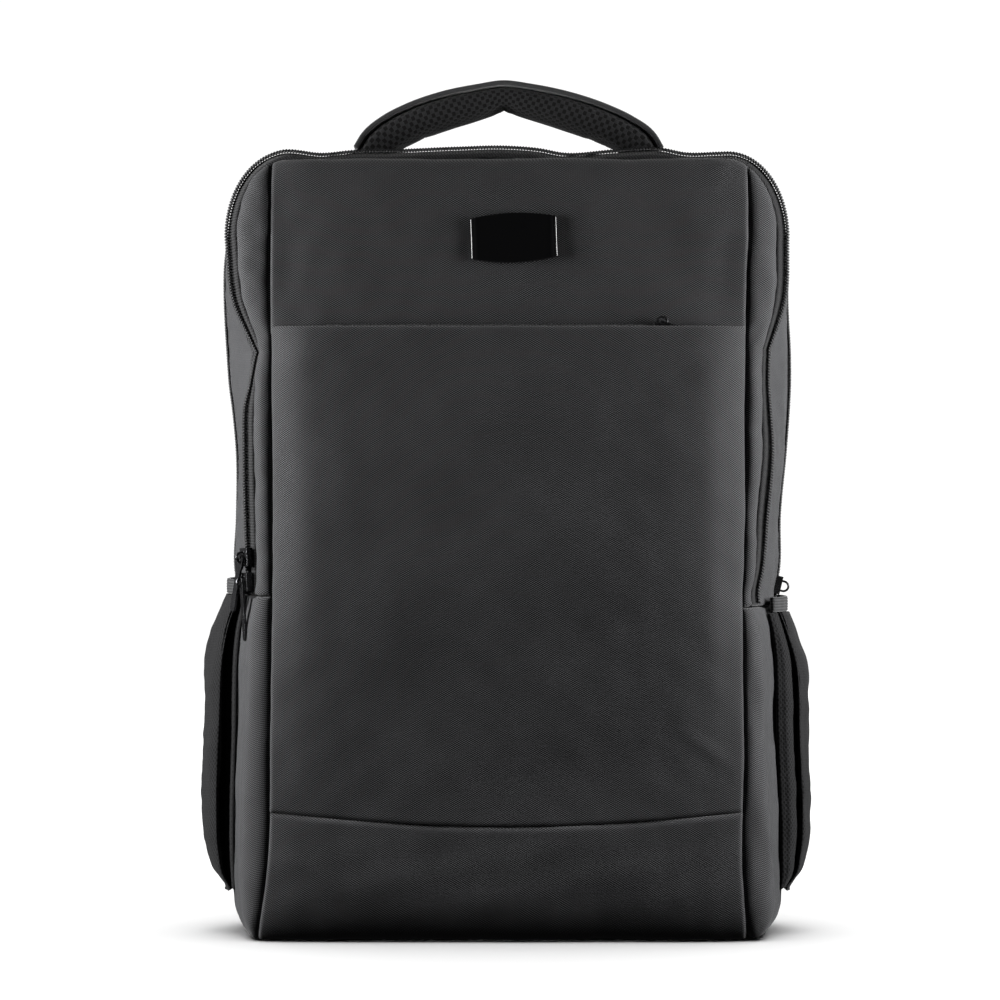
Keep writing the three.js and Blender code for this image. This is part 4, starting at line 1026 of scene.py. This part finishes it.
# Side pocket sections: depth and out from the front seam to the rear one, and rows up
pleatTables = {
    -1: np.array([
        [0, 0], [0.12, 0.07], [0.27, 0.2], [0.25, 0.33], [0.08, 0.44], [0.03, 0.57], [0.08, 0.78],
        [0.2, 0.94], [0.4, 1], [0.62, 0.98], [0.82, 0.8], [0.95, 0.45], [1, 0],
    ]),
    1: np.array([
        [0, 0], [0.01, 0.2], [0.02, 0.4], [0.06, 0.52], [0.26, 0.56], [0.28, 0.63], [0.1, 0.7], [0.08, 0.82],
        [0.2, 0.95], [0.4, 1], [0.62, 0.98], [0.82, 0.8], [0.95, 0.45], [1, 0],
    ]),
}
# height share, out on the left, out on the right
pocketRows = np.array([
    [0, 0.06, 0.06], [0.05, 0.5, 0.5], [0.12, 0.72, 0.68], [0.26, 0.86, 0.82], [0.46, 0.92, 0.88],
    [0.66, 0.87, 0.88], [0.78, 0.76, 0.79], [0.85, 0.64, 0.64], [0.92, 0.5, 0.45], [1, 0.33, 0.3],
])
sidePocket = {
    "bulge": 16.0, "bottom": 26.0, "wall": 1.3, "front": gussetY + 6, "rear": backY - 8,
    "band": 8.4, "stand": 5.2,  # the elastic's height, and how far it stands out
}


def addSidePocket(side):
    word = nameOf(side)
    top = bag["zipEnd"][side] - (0 if side < 0 else sidePocket["band"] / 2)
    pleat = smoothPath(pleatTables[side] * [1, 0.3], 170) / [1, 0.3]
    z = np.linspace(sidePocket["bottom"], top - 0.3, 170)[:, None]
    share = (z - sidePocket["bottom"]) / (top - sidePocket["bottom"])
    out = sidePocket["bulge"] * readCurve(pocketRows[:, 0], pocketRows[:, 1 if side < 0 else 2], share)
    y = mix(sidePocket["front"], sidePocket["rear"], pleat[:, 0])[None]
    fold = 1 + 0.5 * np.sin(share * 7 + 0.6) * 0.12
    x = side * (halfAt(side, z, y) + 2.0 + out * fold * pleat[:, 1][None])
    points = np.stack(np.broadcast_arrays(x, y, z), -1)
    x, y, zs = points[..., 0], points[..., 1], points[..., 2]
    loose = np.sin(np.pi / 2 * pleat[:, 1])[None]
    relief = (swell(y, zs, 0.7, 40, 60 + side) + swell(y * 0.4, zs, 0.3, 14, 62 + side)) * loose * 0.8
    clothPiece(
        "sidePocket_" + word, points, "side_pocket_" + word, "mesh_fabric", "pocketMesh",
        sidePocket["wall"], (1.5, 1.5, 2, 0), 0.8, relief=relief, away=(side * 150, 8, 100),
    )
    rows = np.linspace(0, 1, 60)[:, None]
    u = np.linspace(0, 1, 130)[None]
    depth = mix(sidePocket["front"], sidePocket["rear"], u)
    middle = top + 0.3 + sidePocket["band"] / 2
    stand = sidePocket["stand"] * dome(mix(0.03, 0.97, u), 4)
    x = side * (halfAt(side, middle, depth) + 2.2 + stand)
    bandZ = top + 0.3 + rows * sidePocket["band"]
    points = np.stack(np.broadcast_arrays(x, depth, bandZ), -1)
    ribs = -0.28 * (1 - np.abs(np.sin(np.pi * 5.5 * rows))) * np.ones_like(u)
    ribs = ribs + 0.2 * np.sin(u * 40) * np.sin(np.pi * rows)
    clothPiece(
        "pocketBand_" + word, points, "pocket_band_" + word, "tape_and_elastic", "band", 1.7,
        (1, 1, 0.9, 0.9), 0.7, relief=ribs, away=(side * 130, 8, middle),
    )


# Hard pieces kept from the model: their loose triangles are welded and their edges rounded
def dressHard(node, material, width=0.25, segments=2):
    piece = frame["nodes"][node]
    piece.data.materials.clear()
    piece.data.materials.append(finish[material])
    weld = piece.modifiers.new("weld", "WELD")
    weld.merge_threshold = 0.00002
    bevel = piece.modifiers.new("edges", "BEVEL")
    bevel.width = width * 0.001
    bevel.segments = segments
    bevel.limit_method = "ANGLE"
    bevel.angle_limit = np.radians(28)
    bevel.harden_normals = True


addFront()
for side in (-1, 1):
    addStrip(side)
    addSidePanel(side)
    addSidePocket(side)
    addStrap(side)
addBase()
addZips()
addPocketZip()
addBack()
addHandle()
addPlate()
zipMetal = (
    "main_slider_upper", "main_pull_upper", "main_slider_lower", "main_pull_lower",
    "pocket_slider", "pocket_pull", "rear_slider",
)
for node in zipMetal:
    dressHard(node, "metal")
for word in ("left", "right"):
    dressHard("strap_adjuster_" + word, "plastic", 0.7, 3)
print("pieces made")


# Stage


def emissionMaterial(name, strength):
    material = bpy.data.materials.new(name)
    material.use_nodes = True
    tree = material.node_tree
    tree.nodes.clear()
    emission = addNode(tree, "ShaderNodeEmission")
    emission.inputs["Strength"].default_value = strength
    output = addNode(tree, "ShaderNodeOutputMaterial")
    tree.links.new(emission.outputs[0], output.inputs["Surface"])
    return material


def stagePlane(name, corners, material):
    mesh = bpy.data.meshes.new(name)
    mesh.from_pydata(corners, [], [[0, 1, 2, 3]])
    mesh.materials.append(material)
    plane = bpy.data.objects.new(name, mesh)
    scene.collection.objects.link(plane)
    return plane


def areaLight(name, place, aim, size, power):
    data = bpy.data.lights.new(name, "AREA")
    data.shape = "RECTANGLE"
    data.size, data.size_y = size
    data.energy = power
    lamp = bpy.data.objects.new(name, data)
    lamp.location = place
    scene.collection.objects.link(lamp)
    direction = np.array(aim, float) - np.array(place, float)
    yaw = np.arctan2(direction[1], direction[0]) - np.pi / 2
    pitch = np.arctan2(direction[2], np.hypot(direction[0], direction[1]))
    lamp.rotation_euler = (np.pi / 2 + pitch, 0, yaw)
    lamp.light_linking.receiver_collection = bpy.data.collections["bagOnly"]
    return lamp


# A white backdrop, a floor with its own sun, and lamps that light only the bag
def addStage():
    wall = [(-6, 3, -4), (6, 3, -4), (6, 3, 6), (-6, 3, 6)]
    backdrop = stagePlane("backdrop", wall, emissionMaterial("backdropWhite", 1.05))
    floorMaterial, _, shader = newMaterial("floorWhite")
    setInputs(shader, {"Base Color": (0.82, 0.82, 0.82, 1), "Roughness": 0.9, "Specular IOR Level": 0.0})
    ground = [(-5, -4, -0.0005), (5, -4, -0.0005), (5, 3, -0.0005), (-5, 3, -0.0005)]
    floor = stagePlane("floor", ground, floorMaterial)
    for plane in (backdrop, floor):
        plane.visible_diffuse = False
        plane.visible_glossy = False
        plane.visible_transmission = False
    backdrop.visible_shadow = False
    group = bpy.data.collections.new("floorOnly")
    group.objects.link(floor)
    sun = bpy.data.lights.new("floorSun", "SUN")
    sun.energy = 5.0
    sun.angle = np.radians(80)
    lamp = bpy.data.objects.new("floorSun", sun)
    scene.collection.objects.link(lamp)
    lamp.light_linking.receiver_collection = group
    dressed = bpy.data.collections.new("bagOnly")
    for item in scene.objects:
        if item.type == "MESH" and item not in (floor, backdrop):
            dressed.objects.link(item)
    world = bpy.data.worlds.new("studio")
    world.use_nodes = True
    world.node_tree.nodes["Background"].inputs[0].default_value = (0.02, 0.02, 0.02, 1)
    scene.world = world
    areaLight("softboxLeft", (-0.8, -0.18, 0.385), (0, -0.04, 0.31), (0.3, 0.4), 16.5)
    areaLight("softboxRight", (0.8, -0.175, 0.385), (0, -0.04, 0.31), (0.3, 0.4), 15)
    fill = areaLight("frontFill", (0, -1.2, 0.3), (0, 0, 0.3), (0.7, 0.3), 0.1)
    fill.visible_glossy = False
    areaLight("backFill", (0.3, 2.0, 0.7), (0, 0.1, 0.25), (1.6, 1.0), 14)
    camera = bpy.data.cameras.new("camera")
    camera.lens = 141.4
    camera.sensor_width = 36
    camera.clip_end = 30
    view = bpy.data.objects.new("camera", camera)
    view.location = (-0.0039, -2.24, 0.2453)
    view.rotation_euler = (np.pi / 2, 0, 0)
    scene.collection.objects.link(view)
    scene.camera = view
    scene.view_settings.view_transform = "Standard"


addStage()
